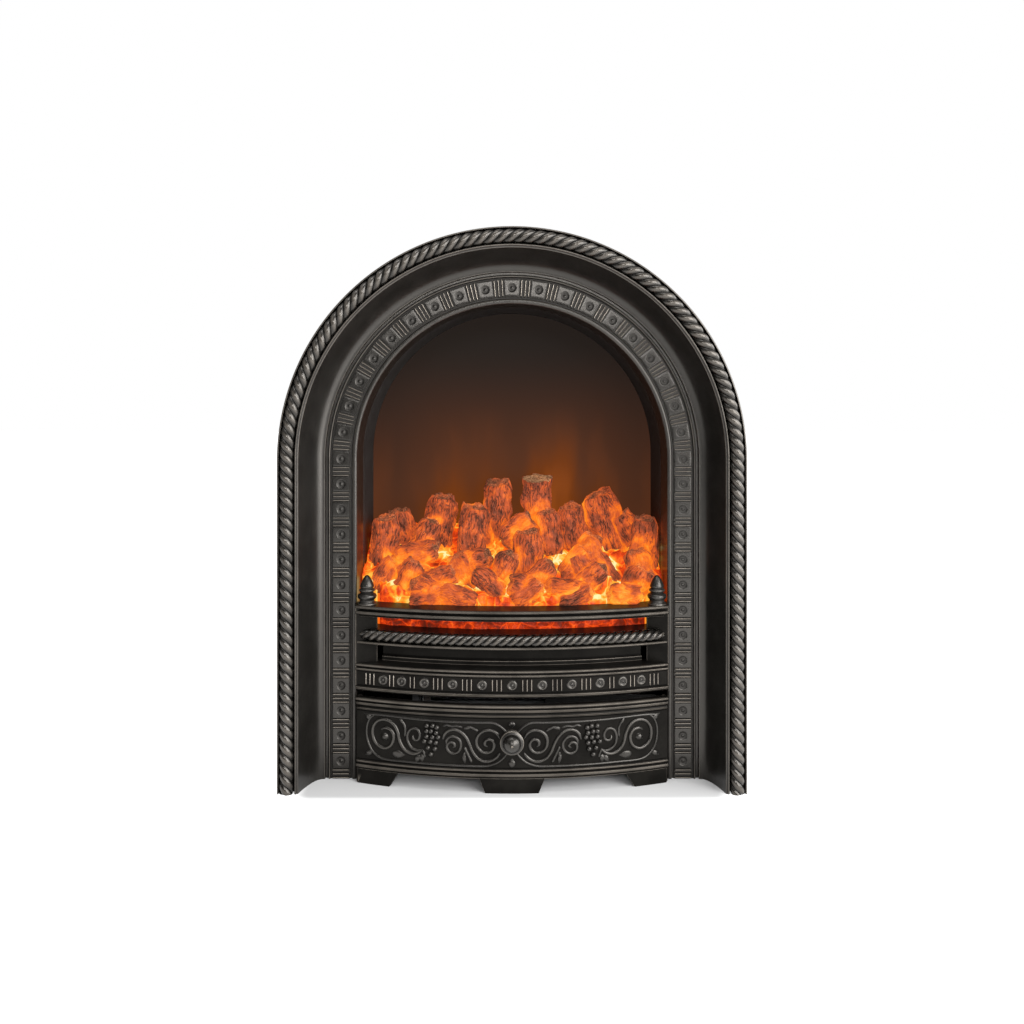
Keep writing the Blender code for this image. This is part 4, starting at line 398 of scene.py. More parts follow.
def smoked_screen(name, shades):
    """Flame screen: smoky brown at the top, with soft tongues of orange over the embers."""
    mix = Recipe(name)
    place = mix.place()
    height = mix.node("SeparateXYZ", {}, {0: place}, 2)
    across = mix.node("SeparateXYZ", {}, {0: place}, 0)
    sway = mix.clouds(mix.stretched(place, (1.0, 1.0, 0.30)), 15.0, 2.0, 0.45)
    lick = mix.clouds(mix.stretched(place, (1.0, 1.0, 0.34)), 30.0, 2.0, 0.5)
    rise = height.step(0.26, 0.50, 1.0, 0.0)
    middle = (across * across).step(0.002, 0.026, 1.0, 0.30)
    licks = sway.step(0.42, 0.66) * 0.75 + lick.step(0.46, 0.70) * 0.40
    tongues = licks * height.step(0.30, 0.43, 1.0, 0.0)
    share = (rise * (middle * 0.34 + 0.16) + tongues * middle * 0.44).clamp()
    dark, glow = shades.screen_dark, shades.screen_glow
    half = tuple(0.30 * g + 0.80 * d for g, d in zip(glow, dark, strict=True))
    light = mix.ramp(share, [(0.0, dark), (0.36, half), (0.70, toned(glow, 0.62)), (1.0, glow)])
    return mix.principled(
        Base_Color=(0.0025, 0.0020, 0.0016),
        Roughness=sway * 0.05 + 0.42,
        Emission_Color=light,
        Emission_Strength=1.0,
        Specular_IOR_Level=0.02,
    )


# Modelling


def rounded(outline, radius, count=3, guard=0.0007):
    """The outline, real corners rounded, with points beside them keeping rubbing and painted shade off flats.
    """
    ring = [Vector(p) for p in outline]
    arcs = []
    for i, corner in enumerate(ring):
        before, after = ring[i - 1], ring[(i + 1) % len(ring)]
        into, out_of = before - corner, after - corner
        if into.angle(out_of) > math.radians(168):
            arcs.append([corner])
            continue
        cut = min(radius, 0.42 * into.length, 0.42 * out_of.length)
        start, end = corner + into.normalized() * cut, corner + out_of.normalized() * cut
        shares = [k / count for k in range(count + 1)]
        arcs.append([(1 - t) ** 2 * start + 2 * t * (1 - t) * corner + t**2 * end for t in shares])
    soft = []
    for i, arc in enumerate(arcs):
        end, start = arc[-1], arcs[(i + 1) % len(arcs)][0]
        soft += arc
        if (start - end).length > 3 * guard:
            side = (start - end).normalized() * guard
            soft += [end + side, start - side]
    return [tuple(point) for point in soft]


def bar(outline, stations, turn=0.0):
    """A closed outline of (across, out) carried along x through the stations, turning as it goes."""
    bm = bmesh.new()
    around = len(outline)
    grid = bmesh.ops.create_grid(bm, x_segments=around, y_segments=len(stations) - 1, size=1.0)["verts"]
    for i, vert in enumerate(grid):
        row, column = divmod(i, around + 1)
        across, out = outline[column % around]
        angle = turn * row
        vert.co = (
            stations[row],
            across * math.cos(angle) - out * math.sin(angle),
            across * math.sin(angle) + out * math.cos(angle),
        )
    bmesh.ops.remove_doubles(bm, verts=bm.verts, dist=1e-7)
    bmesh.ops.holes_fill(bm, edges=[edge for edge in bm.edges if edge.is_boundary], sides=0)
    bmesh.ops.recalc_face_normals(bm, faces=bm.faces)
    return bm


def twist(radius, lobes, span, strands, groove, hand, start=0.0, steps=6, around=28):
    """A straight rope with that many lobes over a span, worn on its crowns, painted shade in its grooves."""
    outline = []
    for i in range(around):
        angle = math.tau * i / around
        reach = radius - groove * (1 - abs(math.cos(strands * angle / 2)) ** 0.70)
        outline.append((reach * math.cos(angle), reach * math.sin(angle)))
    count = lobes * steps
    stations = [start + span * i / count for i in range(count + 1)]
    bm = bar(outline, stations, hand * math.tau / strands / steps)
    wear = bm.verts.layers.float.new("wear")
    for vert in bm.verts:
        crest = (math.hypot(vert.co.y, vert.co.z) - radius) / groove + 1.0
        facing = max(0.0, vert.co.z / radius)
        # rubbing on the front of each crown; below 0, painted shade in the grooves between lobes
        vert[wear] = max(0.0, crest) ** 2 * facing - 0.8 * max(0.0, 0.75 - crest)
    return bm


def lift(bm, low, high):
    """Writes how far up the relief each point of a flat strip is: only its top is rubbed, its foot has
    painted shade.
    """
    rise = bm.verts.layers.float.new("rise")
    for vert in bm.verts:
        vert[rise] = max(0.0, min(1.0, (vert.co.z - low) / (high - low)))


def slab(outline, low, high, cuts=()):
    """A flat outline of (x, y) between two heights with softened edges, cut at some x so that it bends."""
    bm = bmesh.new()
    face = bm.faces.new([bm.verts.new((x, y, low)) for x, y in outline])
    grown = bmesh.ops.extrude_face_region(bm, geom=[face])["geom"]
    tops = [part for part in grown if isinstance(part, bmesh.types.BMVert)]
    bmesh.ops.translate(bm, verts=tops, vec=(0.0, 0.0, high - low))
    flats = [face for face in bm.faces if len(face.verts) > 4]
    bmesh.ops.inset_region(bm, faces=flats, thickness=0.0003, depth=0.0)
    bmesh.ops.inset_region(bm, faces=flats, thickness=0.0007, depth=0.0)
    planes = [((x, 0, 0), (1, 0, 0)) for x in cuts]
    planes += [((0, 0, z), (0, 0, 1)) for z in (low + 0.0008, high - 0.0008)]
    for place, normal in planes:
        geom = bm.verts[:] + bm.edges[:] + bm.faces[:]
        bmesh.ops.bisect_plane(bm, geom=geom, plane_co=place, plane_no=normal)
    bmesh.ops.recalc_face_normals(bm, faces=bm.faces)
    return bm


def spun(profile, steps=32):
    """A (radius, height) profile turned round z."""
    bm = bmesh.new()
    ring = [bm.verts.new((radius, 0.0, height)) for radius, height in profile]
    edges = [bm.edges.new(pair) for pair in zip(ring, ring[1:], strict=False)]
    bmesh.ops.spin(
        bm, geom=ring + edges, cent=(0, 0, 0), axis=(0, 0, 1), angle=math.tau, steps=steps, use_merge=True
    )
    bmesh.ops.remove_doubles(bm, verts=bm.verts, dist=1e-6)
    bmesh.ops.recalc_face_normals(bm, faces=bm.faces)
    return bm


def stamp(bm, shape, matrix):
    """Adds a copy of a shape to bm."""
    mesh = bpy.data.meshes.new("stamp")
    shape.to_mesh(mesh)
    mesh.transform(matrix)
    bm.from_mesh(mesh)
    bpy.data.meshes.remove(mesh)


def merge(whole, shape):
    """Adds a shape to another and uses it up."""
    stamp(whole, shape, Matrix.Identity(4))
    shape.free()


def gather(whole, *shapes):
    """One bmesh of several, which are used up."""
    for shape in shapes:
        merge(whole, shape)
    return whole


def bend_round_arch(bm, sizes, radius, depth):
    """Bends a strip round the arch. It starts at the left foot, and y is outwards from the middle."""
    leg = sizes.arch_centre
    for vert in bm.verts:
        along, across, out = vert.co
        y, reach = FRONT_Y + depth - out, radius + across
        if along <= leg:
            vert.co = (-reach, y, along)
        elif along >= leg + math.pi * radius:
            vert.co = (reach, y, 2 * leg + math.pi * radius - along)
        else:
            angle = (along - leg) / radius
            vert.co = (-reach * math.cos(angle), y, leg + reach * math.sin(angle))


def bend_on_bow(bm, sizes):
    """Bends a strip onto the bow of the grate. x runs from its middle, y is the height."""
    radius = sizes.bow_radius
    for vert in bm.verts:
        along, up, out = vert.co
        angle, reach = along / radius, radius + out
        vert.co = (
            reach * math.sin(angle),
            FRONT_Y + sizes.bow_depth + radius - reach * math.cos(angle),
            up,
        )


def along_bow(sizes, x):
    """Length along the bow from its middle to that x."""
    return sizes.bow_radius * math.asin(x / sizes.bow_radius)


def arch_length(sizes, radius):
    """Length of a strip round the arch, from foot to foot."""
    return 2 * sizes.arch_centre + math.pi * radius


def arch_stations(sizes, radius, over=112, start=0.0):
    """Where a strip is cut so that it bends smoothly: at the springings and round the arch."""
    leg = sizes.arch_centre
    round_part = [leg + math.pi * radius * i / over for i in range(over + 1)]
    return [start, 0.5 * leg, *round_part, 1.5 * leg + math.pi * radius, arch_length(sizes, radius) - start]


def bow_stations(half, count=60):
    """Where a strip is cut so that it bends smoothly along the bow."""
    return [half * (2 * i / count - 1) for i in range(count + 1)]


def arch_casting(sizes, section, radius, soft=0.0004, start=0.0):
    """A section of (radius, depth) points round the arch, with rounded corners."""
    outline = rounded([(r - radius, -d) for r, d in section], soft)
    bm = bar(outline, arch_stations(sizes, radius, start=start))
    bend_round_arch(bm, sizes, radius, 0.0)
    return bm


def bow_casting(sizes, section, half, soft=0.0004):
    """A section of (height, forward) points along the bow, with rounded corners."""
    bm = bar(rounded(section, soft), bow_stations(half))
    bend_on_bow(bm, sizes)
    return bm


def mark_wear_and_shade(mesh, ridge=0.0009):
    """Writes each point's rubbing, towards 1 on a ridge of that radius, 0 on a flat, and painted shade below
    0 in a hollow.
    """
    count = len(mesh.vertices)
    places, normals = np.empty(3 * count, np.float32), np.empty(3 * count, np.float32)
    ends = np.empty(2 * len(mesh.edges), np.int32)
    mesh.vertices.foreach_get("co", places)
    mesh.vertex_normals.foreach_get("vector", normals)
    mesh.edges.foreach_get("vertices", ends)
    places, normals = places.reshape(-1, 3), normals.reshape(-1, 3)
    first, second = ends.reshape(-1, 2).T
    gap = places[second] - places[first]
    reach = np.maximum((gap * gap).sum(axis=1), 1e-12)
    high, low = np.zeros(count), np.zeros(count)
    for here, way in ((first, -1.0), (second, 1.0)):
        bend = 2.0 * way * (normals[here] * gap).sum(axis=1) / reach
        np.maximum.at(high, here, bend)
        np.minimum.at(low, here, bend)
    wear = np.clip(np.where(high > -low, high, low) * ridge, -1.0, 1.0)
    if "rise" in mesh.attributes:
        rise = np.empty(count, np.float32)
        mesh.attributes["rise"].data.foreach_get("value", rise)
        # on relief, rubbing only towards its top, and painted shade on the flat round its foot
        wear = wear * rise - 0.5 * (rise < 0.1)
    mesh.attributes.new("wear", "FLOAT", "POINT").data.foreach_set("value", wear.astype(np.float32))


def mesh_of(name, bm):
    """The mesh of a bmesh, which is used up."""
    mesh = bpy.data.meshes.new(name)
    bm.to_mesh(mesh)
    bm.free()
    return mesh


def linked(name, mesh, finish):
    """A new object in the scene, of that mesh and finish."""
    obj = bpy.data.objects.new(name, mesh)
    bpy.context.scene.collection.objects.link(obj)
    mesh.materials.append(finish)
    return obj


def piece(name, bm, finish, stands_for=(), body="insert", angle=38):
    """A finished piece that rides on a body and stands for CAD nodes."""
    mesh = mesh_of(name, bm)
    if "wear" not in mesh.attributes and "warmth" not in mesh.attributes:
        mark_wear_and_shade(mesh)
    mesh.shade_smooth()
    mesh.set_sharp_from_angle(angle=math.radians(angle))
    obj = linked(name, mesh, finish)
    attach(obj, body)
    if stands_for:
        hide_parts(*stands_for)
    return obj


def dress(finish, *nodes):
    """Gives CAD nodes that stay a better finish."""
    for node in nodes:
        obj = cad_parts[node]
        obj.data.materials.clear()
        obj.data.materials.append(finish)


def box_centre(node):
    """Middle of a CAD node's box."""
    return tuple((low + high) / 2 for low, high in zip(*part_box(node), strict=True))


# Outer arch


def cove_section(sizes):
    """Lip, trough under the rope, bead, cove and the hollow back of the outer casting."""
    ring, rope = sizes.rope_ring, sizes.rope_radius
    seat = rope + 0.0002
    turns = [math.pi * i / 12 for i in range(13)]
    trough = [(ring + seat * math.cos(turn), rope + seat * math.sin(turn)) for turn in turns]
    width, top = sizes.cove_radius - sizes.band_radius, 0.0080
    drop = sizes.band_depth - top
    shares = [1 - i / 18 for i in range(19)]
    cove = [(sizes.band_radius + width * share, top + drop * (1 - share**2.4)) for share in shares]
    back = [(r + 0.0030, depth + 0.0036) for r, depth in cove[16:1:-3]]
    outer, rim = sizes.outer_radius, sizes.frame_depth
    return [
        (outer, rim), (outer, 0.0056), (outer - 0.0004, 0.0044), (outer - 0.0014, 0.0040),
        (trough[0][0] + 0.0002, 0.0042),
        *trough,
        (trough[-1][0] - 0.0003, 0.0054),
        (trough[-1][0] - 0.0010, 0.0042),
        (trough[-1][0] - 0.0019, 0.0042),
        (trough[-1][0] - 0.0026, 0.0054),
        (sizes.cove_radius + 0.0004, 0.0058),
        *cove,
        (sizes.band_radius, 0.0533), (sizes.band_radius - 0.0077, 0.0533),
        (sizes.band_radius - 0.0077, 0.0573),
        (back[0][0], 0.0573),
        *back,
        (back[-1][0] + 0.001, 0.0190),
        (outer - 0.004, 0.0193), (outer - 0.004, rim - 0.004), (outer - 0.0125, rim - 0.004),
        (outer - 0.0125, rim),
    ]


class FIRE_OT_outer_arch(Operator):
    """Makes the cove casting and the rope that edges it"""

    bl_idname = "fire.outer_arch"
    bl_label = "Outer arch"

    def execute(self, context):
        sizes = context.scene.fire_sizes
        cove = arch_casting(sizes, cove_section(sizes), sizes.cove_radius, 0.0003)
        piece("cove_casting", cove, arch_iron(), ["outer_arch"], angle=32)
        start = 0.0003
        span = arch_length(sizes, sizes.rope_ring) - 2 * start
        rope = twist(sizes.rope_radius, sizes.rope_lobes, span, 3, 0.0021, -1, start, 7, 42)
        bend_round_arch(rope, sizes, sizes.rope_ring, sizes.rope_radius)
        piece("frame_rope", rope, rope_iron(), ["rope_moulding"], angle=60)
        return {"FINISHED"}


# Inner arch

BEAD_WIDTH = 0.0078
# Steps of the studded band round the arch
BAND_STEPS = 80


def plate_section(sizes):
    """Flat arch with a bead each side of its channel, and the deep reveal."""
    outer, inner = sizes.band_radius - 0.0003, sizes.opening_radius
    face, floor, back = sizes.band_depth, sizes.band_depth + 0.0020, sizes.band_depth + 0.0055
    return [
        (outer, back), (outer, face + 0.0036), (outer - 0.0030, face + 0.0036),
        (outer - 0.0036, face + 0.0014), (outer - 0.0040, face + 0.0002), (outer - 0.0046, face - 0.0002),
        (outer - 0.0052, face + 0.0002), (outer - 0.0056, face + 0.0014), (outer - 0.0062, face + 0.0028),
        (outer - 0.0074, face + 0.0028), (outer - BEAD_WIDTH, floor), (inner + BEAD_WIDTH, floor),
        (inner + 0.0072, face + 0.0030), (inner + 0.0056, face + 0.0030), (inner + 0.0050, face + 0.0012),
        (inner + 0.0044, face + 0.0002), (inner + 0.0034, face), (inner + 0.0022, face),
        (inner + 0.0010, face + 0.0004), (inner, face + 0.0014), (inner, sizes.reveal_depth),
        (inner + 0.003, sizes.reveal_depth), (inner + 0.003, back),
    ]


def stud_stations(sizes, radius):
    """Distance along the strip of each stud: twelve on a leg, then every nine degrees."""
    leg, over = sizes.arch_centre, math.pi * radius
    low = [leg - sizes.stud_pitch * i for i in range(12, 0, -1)]
    arch = [leg + over * i / 20 for i in range(21)]
    high = [leg + over + sizes.stud_pitch * i for i in range(1, 13)]
    return low + arch + high


def stud_shape(radius):
    """Round stud on a flat: a low mound, a dish in it and a small dome in the dish."""
    profile = [
        (0.0, 0.00095), (0.15, 0.00088), (0.26, 0.00055), (0.36, 0.00012), (0.48, -0.00002),
        (0.62, 0.00008), (0.78, 0.00045), (0.90, 0.00082), (1.00, 0.00096), (1.12, 0.00085),
        (1.26, 0.00048), (1.38, 0.00012), (1.44, -0.0004),
    ]
    return spun([(share * radius, height) for share, height in profile], 28)


def half_round(width, height, span, count=7):
    """Short ridge across the strip, with softened ends."""
    turns = [math.pi * i / count for i in range(count + 1)]
    outline = [(0.5 * width * math.cos(turn), height * math.sin(turn)) for turn in turns]
    outline += [(-0.5 * width, -0.0005), (0.5 * width, -0.0005)]
    half = span / 2
    stations = [-half, -half + 0.0005, half - 0.0005, half]
    bm = bar(outline, stations)
    for vert in bm.verts:
        if abs(vert.co.x) > half - 1e-5:
            vert.co.z *= 0.45
    bmesh.ops.rotate(bm, verts=bm.verts, cent=(0, 0, 0), matrix=Matrix.Rotation(math.pi / 2, 3, "Z"))
    return bm


def plaque(size_x, size_y, height, radius):
    """Raised square with a dish sunk into it round a small dome."""
    profile = [
        (0.0, -0.00005), (0.13, -0.00010), (0.24, -0.00040), (0.33, -0.00092), (0.44, -0.00118),
        (0.60, -0.00116), (0.76, -0.00088), (0.90, -0.00038), (0.98, -0.00008), (1.06, 0.0), (1.16, 0.0),
    ]
    profile = [(share * radius, height + drop) for share, drop in profile]
    # Four rims of (height, inset from the square's edge), spun 10 to 13 mm out and then made square
    rims = [(height, 0.0022), (height, 0.0010), (height - 0.0001, 0.0003), (-0.0004, 0.0)]
    bm = spun(profile + [((10 + i) / 1000, rise) for i, (rise, _) in enumerate(rims)])
    for vert in bm.verts:
        rim = round(math.hypot(vert.co.x, vert.co.y) * 1000) - 10
        if rim < 0:
            continue
        inset = rims[rim][1]
        square = max(abs(vert.co.x), abs(vert.co.y))
        vert.co.x *= (size_x / 2 - inset) / square
        vert.co.y *= (size_y / 2 - inset) / square
    return bm


class FIRE_OT_inner_arch(Operator):
    """Makes the flat arch with its beads, and the studded band in its channel"""

    bl_idname = "fire.inner_arch"
    bl_label = "Inner arch"

    def execute(self, context):
        sizes = context.scene.fire_sizes
        plate = arch_casting(sizes, plate_section(sizes), sizes.opening_radius, 0.00035)
        piece("band_plate", plate, arch_iron(), ["inner_arch"], angle=32)
        low, high = sizes.opening_radius + BEAD_WIDTH, sizes.band_radius - 0.0082
        radius = (low + high) / 2
        half = (high - low) / 2
        floor = [(-half, -0.0010), (-half, -0.0004), (half, -0.0004), (half, -0.0010)]
        band = bar(floor, arch_stations(sizes, radius, BAND_STEPS, 0.0004))
        studs = stud_stations(sizes, radius)
        ridge = half_round(0.0017, 0.0022, 2 * half - 0.0008)
        square = plaque(sizes.stud_pitch - 0.0112, 2 * half - 0.0010, 0.0011, sizes.stud_radius)
        gaps = [(a + b) / 2 for a, b in zip(studs, studs[1:], strict=False)]
        gaps = [studs[0] - sizes.stud_pitch / 2, *gaps, studs[-1] + sizes.stud_pitch / 2]
        for at in studs:
            stamp(band, square, Matrix.Translation((at, 0, 0)))
        for at in gaps:
            for shift in (-0.0043, 0.0, 0.0043):
                stamp(band, ridge, Matrix.Translation((at + shift, 0, 0)))
        lift(band, 0.0008, 0.0020)
        bend_round_arch(band, sizes, radius, sizes.band_depth + 0.0012)
        piece("studded_band", band, relief_iron(), ["stud_band"], angle=40)
        return {"FINISHED"}


# Grate front

# How far the rails and their rope stay clear of the reveal
RAIL_PLAY = 0.0004
ROPE_PLAY = 0.0008
RAIL_ROPE_HEIGHT = 0.16345
# Channel of the lower rail, in which its studs stand
CHANNEL_HEAD, CHANNEL_FOOT, CHANNEL_DEPTH = 0.1244, 0.1085, 0.0022
FINIAL_SEAT = 0.1963
# Places of the studs along the lower rail, from its middle to its right end
RAIL_STUDS = (0.0, 0.0326, 0.0649, 0.0965, 0.1225, 0.1444)


def rail_sections(sizes):
    """Sections of (height, forward) of the top, rope and studded rails."""
    top = [
        (0.1900, -0.0300), (0.1960, -0.0300), (0.1960, -0.0036), (0.1958, -0.0016), (0.1950, -0.0006),
        (0.1940, -0.0004), (0.1930, -0.0010), (0.1924, -0.0026), (0.1918, -0.0036), (0.1908, -0.0036),
        (0.1902, -0.0022), (0.1896, -0.0006), (0.1884, 0.0), (0.1872, -0.0004), (0.1862, -0.0018),
        (0.1852, -0.0036), (0.1840, -0.0044), (0.1840, -0.0120), (0.1890, -0.0140),
    ]
    radius = sizes.rail_rope_radius
    seat = radius + 0.0003
    turns = [math.radians(angle) for angle in range(100, 266, 15)]
    trough = [(RAIL_ROPE_HEIGHT + seat * math.sin(turn), seat * math.cos(turn) - radius) for turn in turns]
    rope = [
        (0.1625, -0.0340), (0.1698, -0.0340), (0.1698, -0.0085),
        *trough,
        (0.1568, -0.0034), (0.1564, -0.0022), (0.1554, -0.0016), (0.1544, -0.0022), (0.1540, -0.0036),
        (0.1540, -0.0160), (0.1620, -0.0185),
    ]
    studs = [
        (0.1286, -0.0260), (0.1326, -0.0260), (0.1326, -0.0030), (0.1322, -0.0010), (0.1314, 0.0),
        (0.1302, -0.0001), (0.1295, -0.0012), (0.1288, -0.0016), (0.1280, -0.0012), (0.1272, -0.0001),
        (0.1260, -0.0001), (0.1250, -0.0010), (CHANNEL_HEAD, -CHANNEL_DEPTH),
        (CHANNEL_FOOT, -CHANNEL_DEPTH), (0.1078, -0.0008), (0.1068, 0.0003), (0.1052, 0.0004),
        (0.1040, -0.0004), (0.1030, -0.0018), (0.1026, -0.0040), (0.1026, -0.0060), (0.1280, -0.0060),
    ]
    return top, rope, studs


class FIRE_OT_grate_front(Operator):
    """Makes the three bowed rails, the cheeks, the rail's rope and the finials"""

    bl_idname = "fire.grate_front"
    bl_label = "Grate front"

    def execute(self, context):
        sizes = context.scene.fire_sizes
        half = along_bow(sizes, sizes.opening_radius - RAIL_PLAY)
        rails = [bow_casting(sizes, section, half, 0.0003) for section in rail_sections(sizes)]
        piece("grate_rails", gather(*rails, self.cheeks(sizes)), grate_iron(), ["fret"], angle=32)
        self.studs(sizes)
        self.rope(sizes)
        self.deflector(sizes)
        for node in ("finial_left", "finial_right"):
            self.finial(node)
        return {"FINISHED"}

    def cheeks(self, sizes):
        """Two side plates that slope back into the opening, each with its return."""
        outer = sizes.opening_radius - RAIL_PLAY
        inner, face = outer - 0.0230, 0.0362
        plan = [
            (outer, face), (inner, face + 0.0086), (inner, face + 0.0126), (outer - 0.003, face + 0.0052),
            (outer - 0.003, 0.0640), (outer, 0.0640),
        ]
        plan = rounded(plan, 0.0005, 2)
        plates = [[(side * x, FRONT_Y + depth) for x, depth in plan] for side in (-1, 1)]
        return gather(*[slab(plate, 0.1036, 0.1950) for plate in plates])

    def studs(self, sizes):
        """Studs and upright bars on the lower rail."""
        bm = bmesh.new()
        stud, ridge = stud_shape(0.0041), half_round(0.0014, 0.0014, 0.0128)
        middle = (CHANNEL_HEAD + CHANNEL_FOOT) / 2
        for side in (-1, 1):
            for at in RAIL_STUDS if side > 0 else RAIL_STUDS[1:]:
                stamp(bm, stud, Matrix.Translation((side * at, middle, -CHANNEL_DEPTH)))
            for i, (here, after) in enumerate(zip(RAIL_STUDS, RAIL_STUDS[1:], strict=False)):
                shifts = (-0.0048, 0.0, 0.0048) if i < 3 else (-0.0023, 0.0023)
                for shift in shifts:
                    at = side * ((here + after) / 2 + shift)
                    stamp(bm, ridge, Matrix.Translation((at, middle, -CHANNEL_DEPTH)))
            for shift in (0.0102, 0.0150, 0.0198):
                at = side * (RAIL_STUDS[-1] + shift)
                stamp(bm, ridge, Matrix.Translation((at, middle, -CHANNEL_DEPTH)))
        lift(bm, -0.0019, -0.0008)
        bend_on_bow(bm, sizes)
        piece("rail_studs", bm, relief_iron(), angle=40)

    def rope(self, sizes):
        """Small rope along the middle rail, drawn to a point at each end."""
        half = along_bow(sizes, sizes.opening_radius - ROPE_PLAY)
        rope = twist(sizes.rail_rope_radius, sizes.rail_rope_lobes, 2 * half, 3, 0.0019, -1, -half, 8, 30)
        for vert in rope.verts:
            left = min(1.0, (half - abs(vert.co.x)) / 0.016)
            share = 0.10 + 0.90 * math.sqrt(max(0.0, left))
            vert.co.y *= share
            vert.co.z = vert.co.z * share - sizes.rail_rope_radius
            vert.co.y += RAIL_ROPE_HEIGHT
        bend_on_bow(rope, sizes)
        piece("rail_rope_twist", rope, rope_iron(), ["rail_rope"], angle=60)

    def deflector(self, sizes):
        """Plain bowed plate behind the lower slot, with a bevelled foot."""
        low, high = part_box("air_deflector")
        half = along_bow(sizes, high.x) + 0.0045
        foot, head = low.z + 0.0001, high.z - 0.0001
        back, face, toe = -0.0248, -0.0231, -0.0206
        section = [
            (foot, back), (head, back), (head, face), (foot + 0.0066, face), (foot + 0.0052, -0.0222),
            (foot + 0.0044, toe), (foot, toe),
        ]
        plate = bow_casting(sizes, section, half, 0.0003)
        piece("deflector_plate", plate, grate_iron(), ["air_deflector"], angle=32)

    def finial(self, node):
        """Turned acorn finial."""
        low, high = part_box(node)
        radius, height = 1.15 * (high.x - low.x) / 2, 0.0320
        # Shares of the finial's radius and height, from its tip down
        profile = [
            (0.0, 1.0), (0.10, 0.995), (0.22, 0.965), (0.40, 0.885), (0.56, 0.775), (0.68, 0.68),
            (0.725, 0.625), (0.70, 0.585), (0.61, 0.565), (0.64, 0.545), (0.78, 0.52), (0.83, 0.485),
            (0.78, 0.445), (0.64, 0.42), (0.62, 0.40), (0.74, 0.375), (0.93, 0.335), (0.985, 0.28),
            (0.95, 0.225), (0.82, 0.18), (0.74, 0.15), (0.76, 0.10), (0.90, 0.05), (0.95, 0.02),
            (0.95, 0.0), (0.0, 0.0),
        ]
        bm = spun([(across * radius, up * height) for across, up in profile], 40)
        x, y, _ = box_centre(node)
        bmesh.ops.translate(bm, verts=bm.verts, vec=(x, y, FINIAL_SEAT))
        piece(node + "_turned", bm, arch_iron(), [node], angle=50)


# Ash pan cover

COVER_PLAY = 0.0009
# How far the panel lies behind the face of the cover's mouldings
PANEL_DROP = 0.0035
# Fit of the vine's and the grapes' tables to the panel
VINE_STRETCH, VINE_SHIFT, VINE_GIRTH = 1.06, -0.0009, 1.50
GRAPE_STRETCH, GRAPE_SHIFT = 1.05, -0.0006


def vine(points, radius, ends, samples=7):
    """Half-buried round vine through points of (x, y), in millimetres, thinner at its ends."""
    knots = [Vector((VINE_STRETCH * x / 1000 + VINE_SHIFT, y / 1000, 0.0)) for x, y in points]
    knots = [2 * knots[0] - knots[1], *knots, 2 * knots[-1] - knots[-2]]
    line = []
    for i in range(1, len(knots) - 2):
        a, b, c, d = knots[i - 1 : i + 3]
        square, cube = 2 * a - 5 * b + 4 * c - d, 3 * b - a - 3 * c + d
        for k in range(samples):
            t = k / samples
            line.append(0.5 * (2 * b + (c - a) * t + square * t**2 + cube * t**3))
    line.append(knots[-2])
    data = bpy.data.curves.new("vine", "CURVE")
    data.dimensions = "3D"
    data.bevel_depth = radius
    data.bevel_resolution = 3
    data.use_fill_caps = True
    spline = data.splines.new("POLY")
    spline.points.add(len(line) - 1)
    for i, (point, place) in enumerate(zip(spline.points, line, strict=True)):
        share = i / (len(line) - 1)
        point.co = (*place, 1.0)
        point.radius = min(1.0, ends[0] + share * 9, ends[1] + (1 - share) * 9)
    holder = bpy.data.objects.new("vine", data)
    bpy.context.scene.collection.objects.link(holder)
    bpy.context.view_layer.update()
    mesh = bpy.data.meshes.new_from_object(holder.evaluated_get(bpy.context.evaluated_depsgraph_get()))
    bpy.data.objects.remove(holder)
    bm = bmesh.new()
    bm.from_mesh(mesh)
    bpy.data.meshes.remove(mesh)
    bmesh.ops.remove_doubles(bm, verts=bm.verts, dist=1e-6)
    bmesh.ops.recalc_face_normals(bm, faces=bm.faces)
    return bm


def leaf(place, reach, width, angle, height=0.0016, pinch=0.8):
    """Pointed leaf lying on the panel, in millimetres and degrees."""
    bm = bmesh.new()
    bmesh.ops.create_uvsphere(bm, u_segments=16, v_segments=10, radius=1.0)
    bmesh.ops.rotate(bm, verts=bm.verts, cent=(0, 0, 0), matrix=Matrix.Rotation(math.pi / 2, 3, "Y"))
    for vert in bm.verts:
        taper = 1 - pinch * max(0.0, vert.co.x) ** 1.4
        vert.co.y *= taper
        vert.co.z = vert.co.z * taper + 0.25 * abs(vert.co.y) * (vert.co.z > 0)
    size = Matrix.Diagonal((reach / 1800, width / 1600, height, 1.0))
    spot = Matrix.Translation((VINE_STRETCH * place[0] / 1000, place[1] / 1000, 0))
    turn = Matrix.Rotation(math.radians(angle), 4, "Z")
    bmesh.ops.transform(bm, matrix=spot @ turn @ size, verts=bm.verts)
    return bm


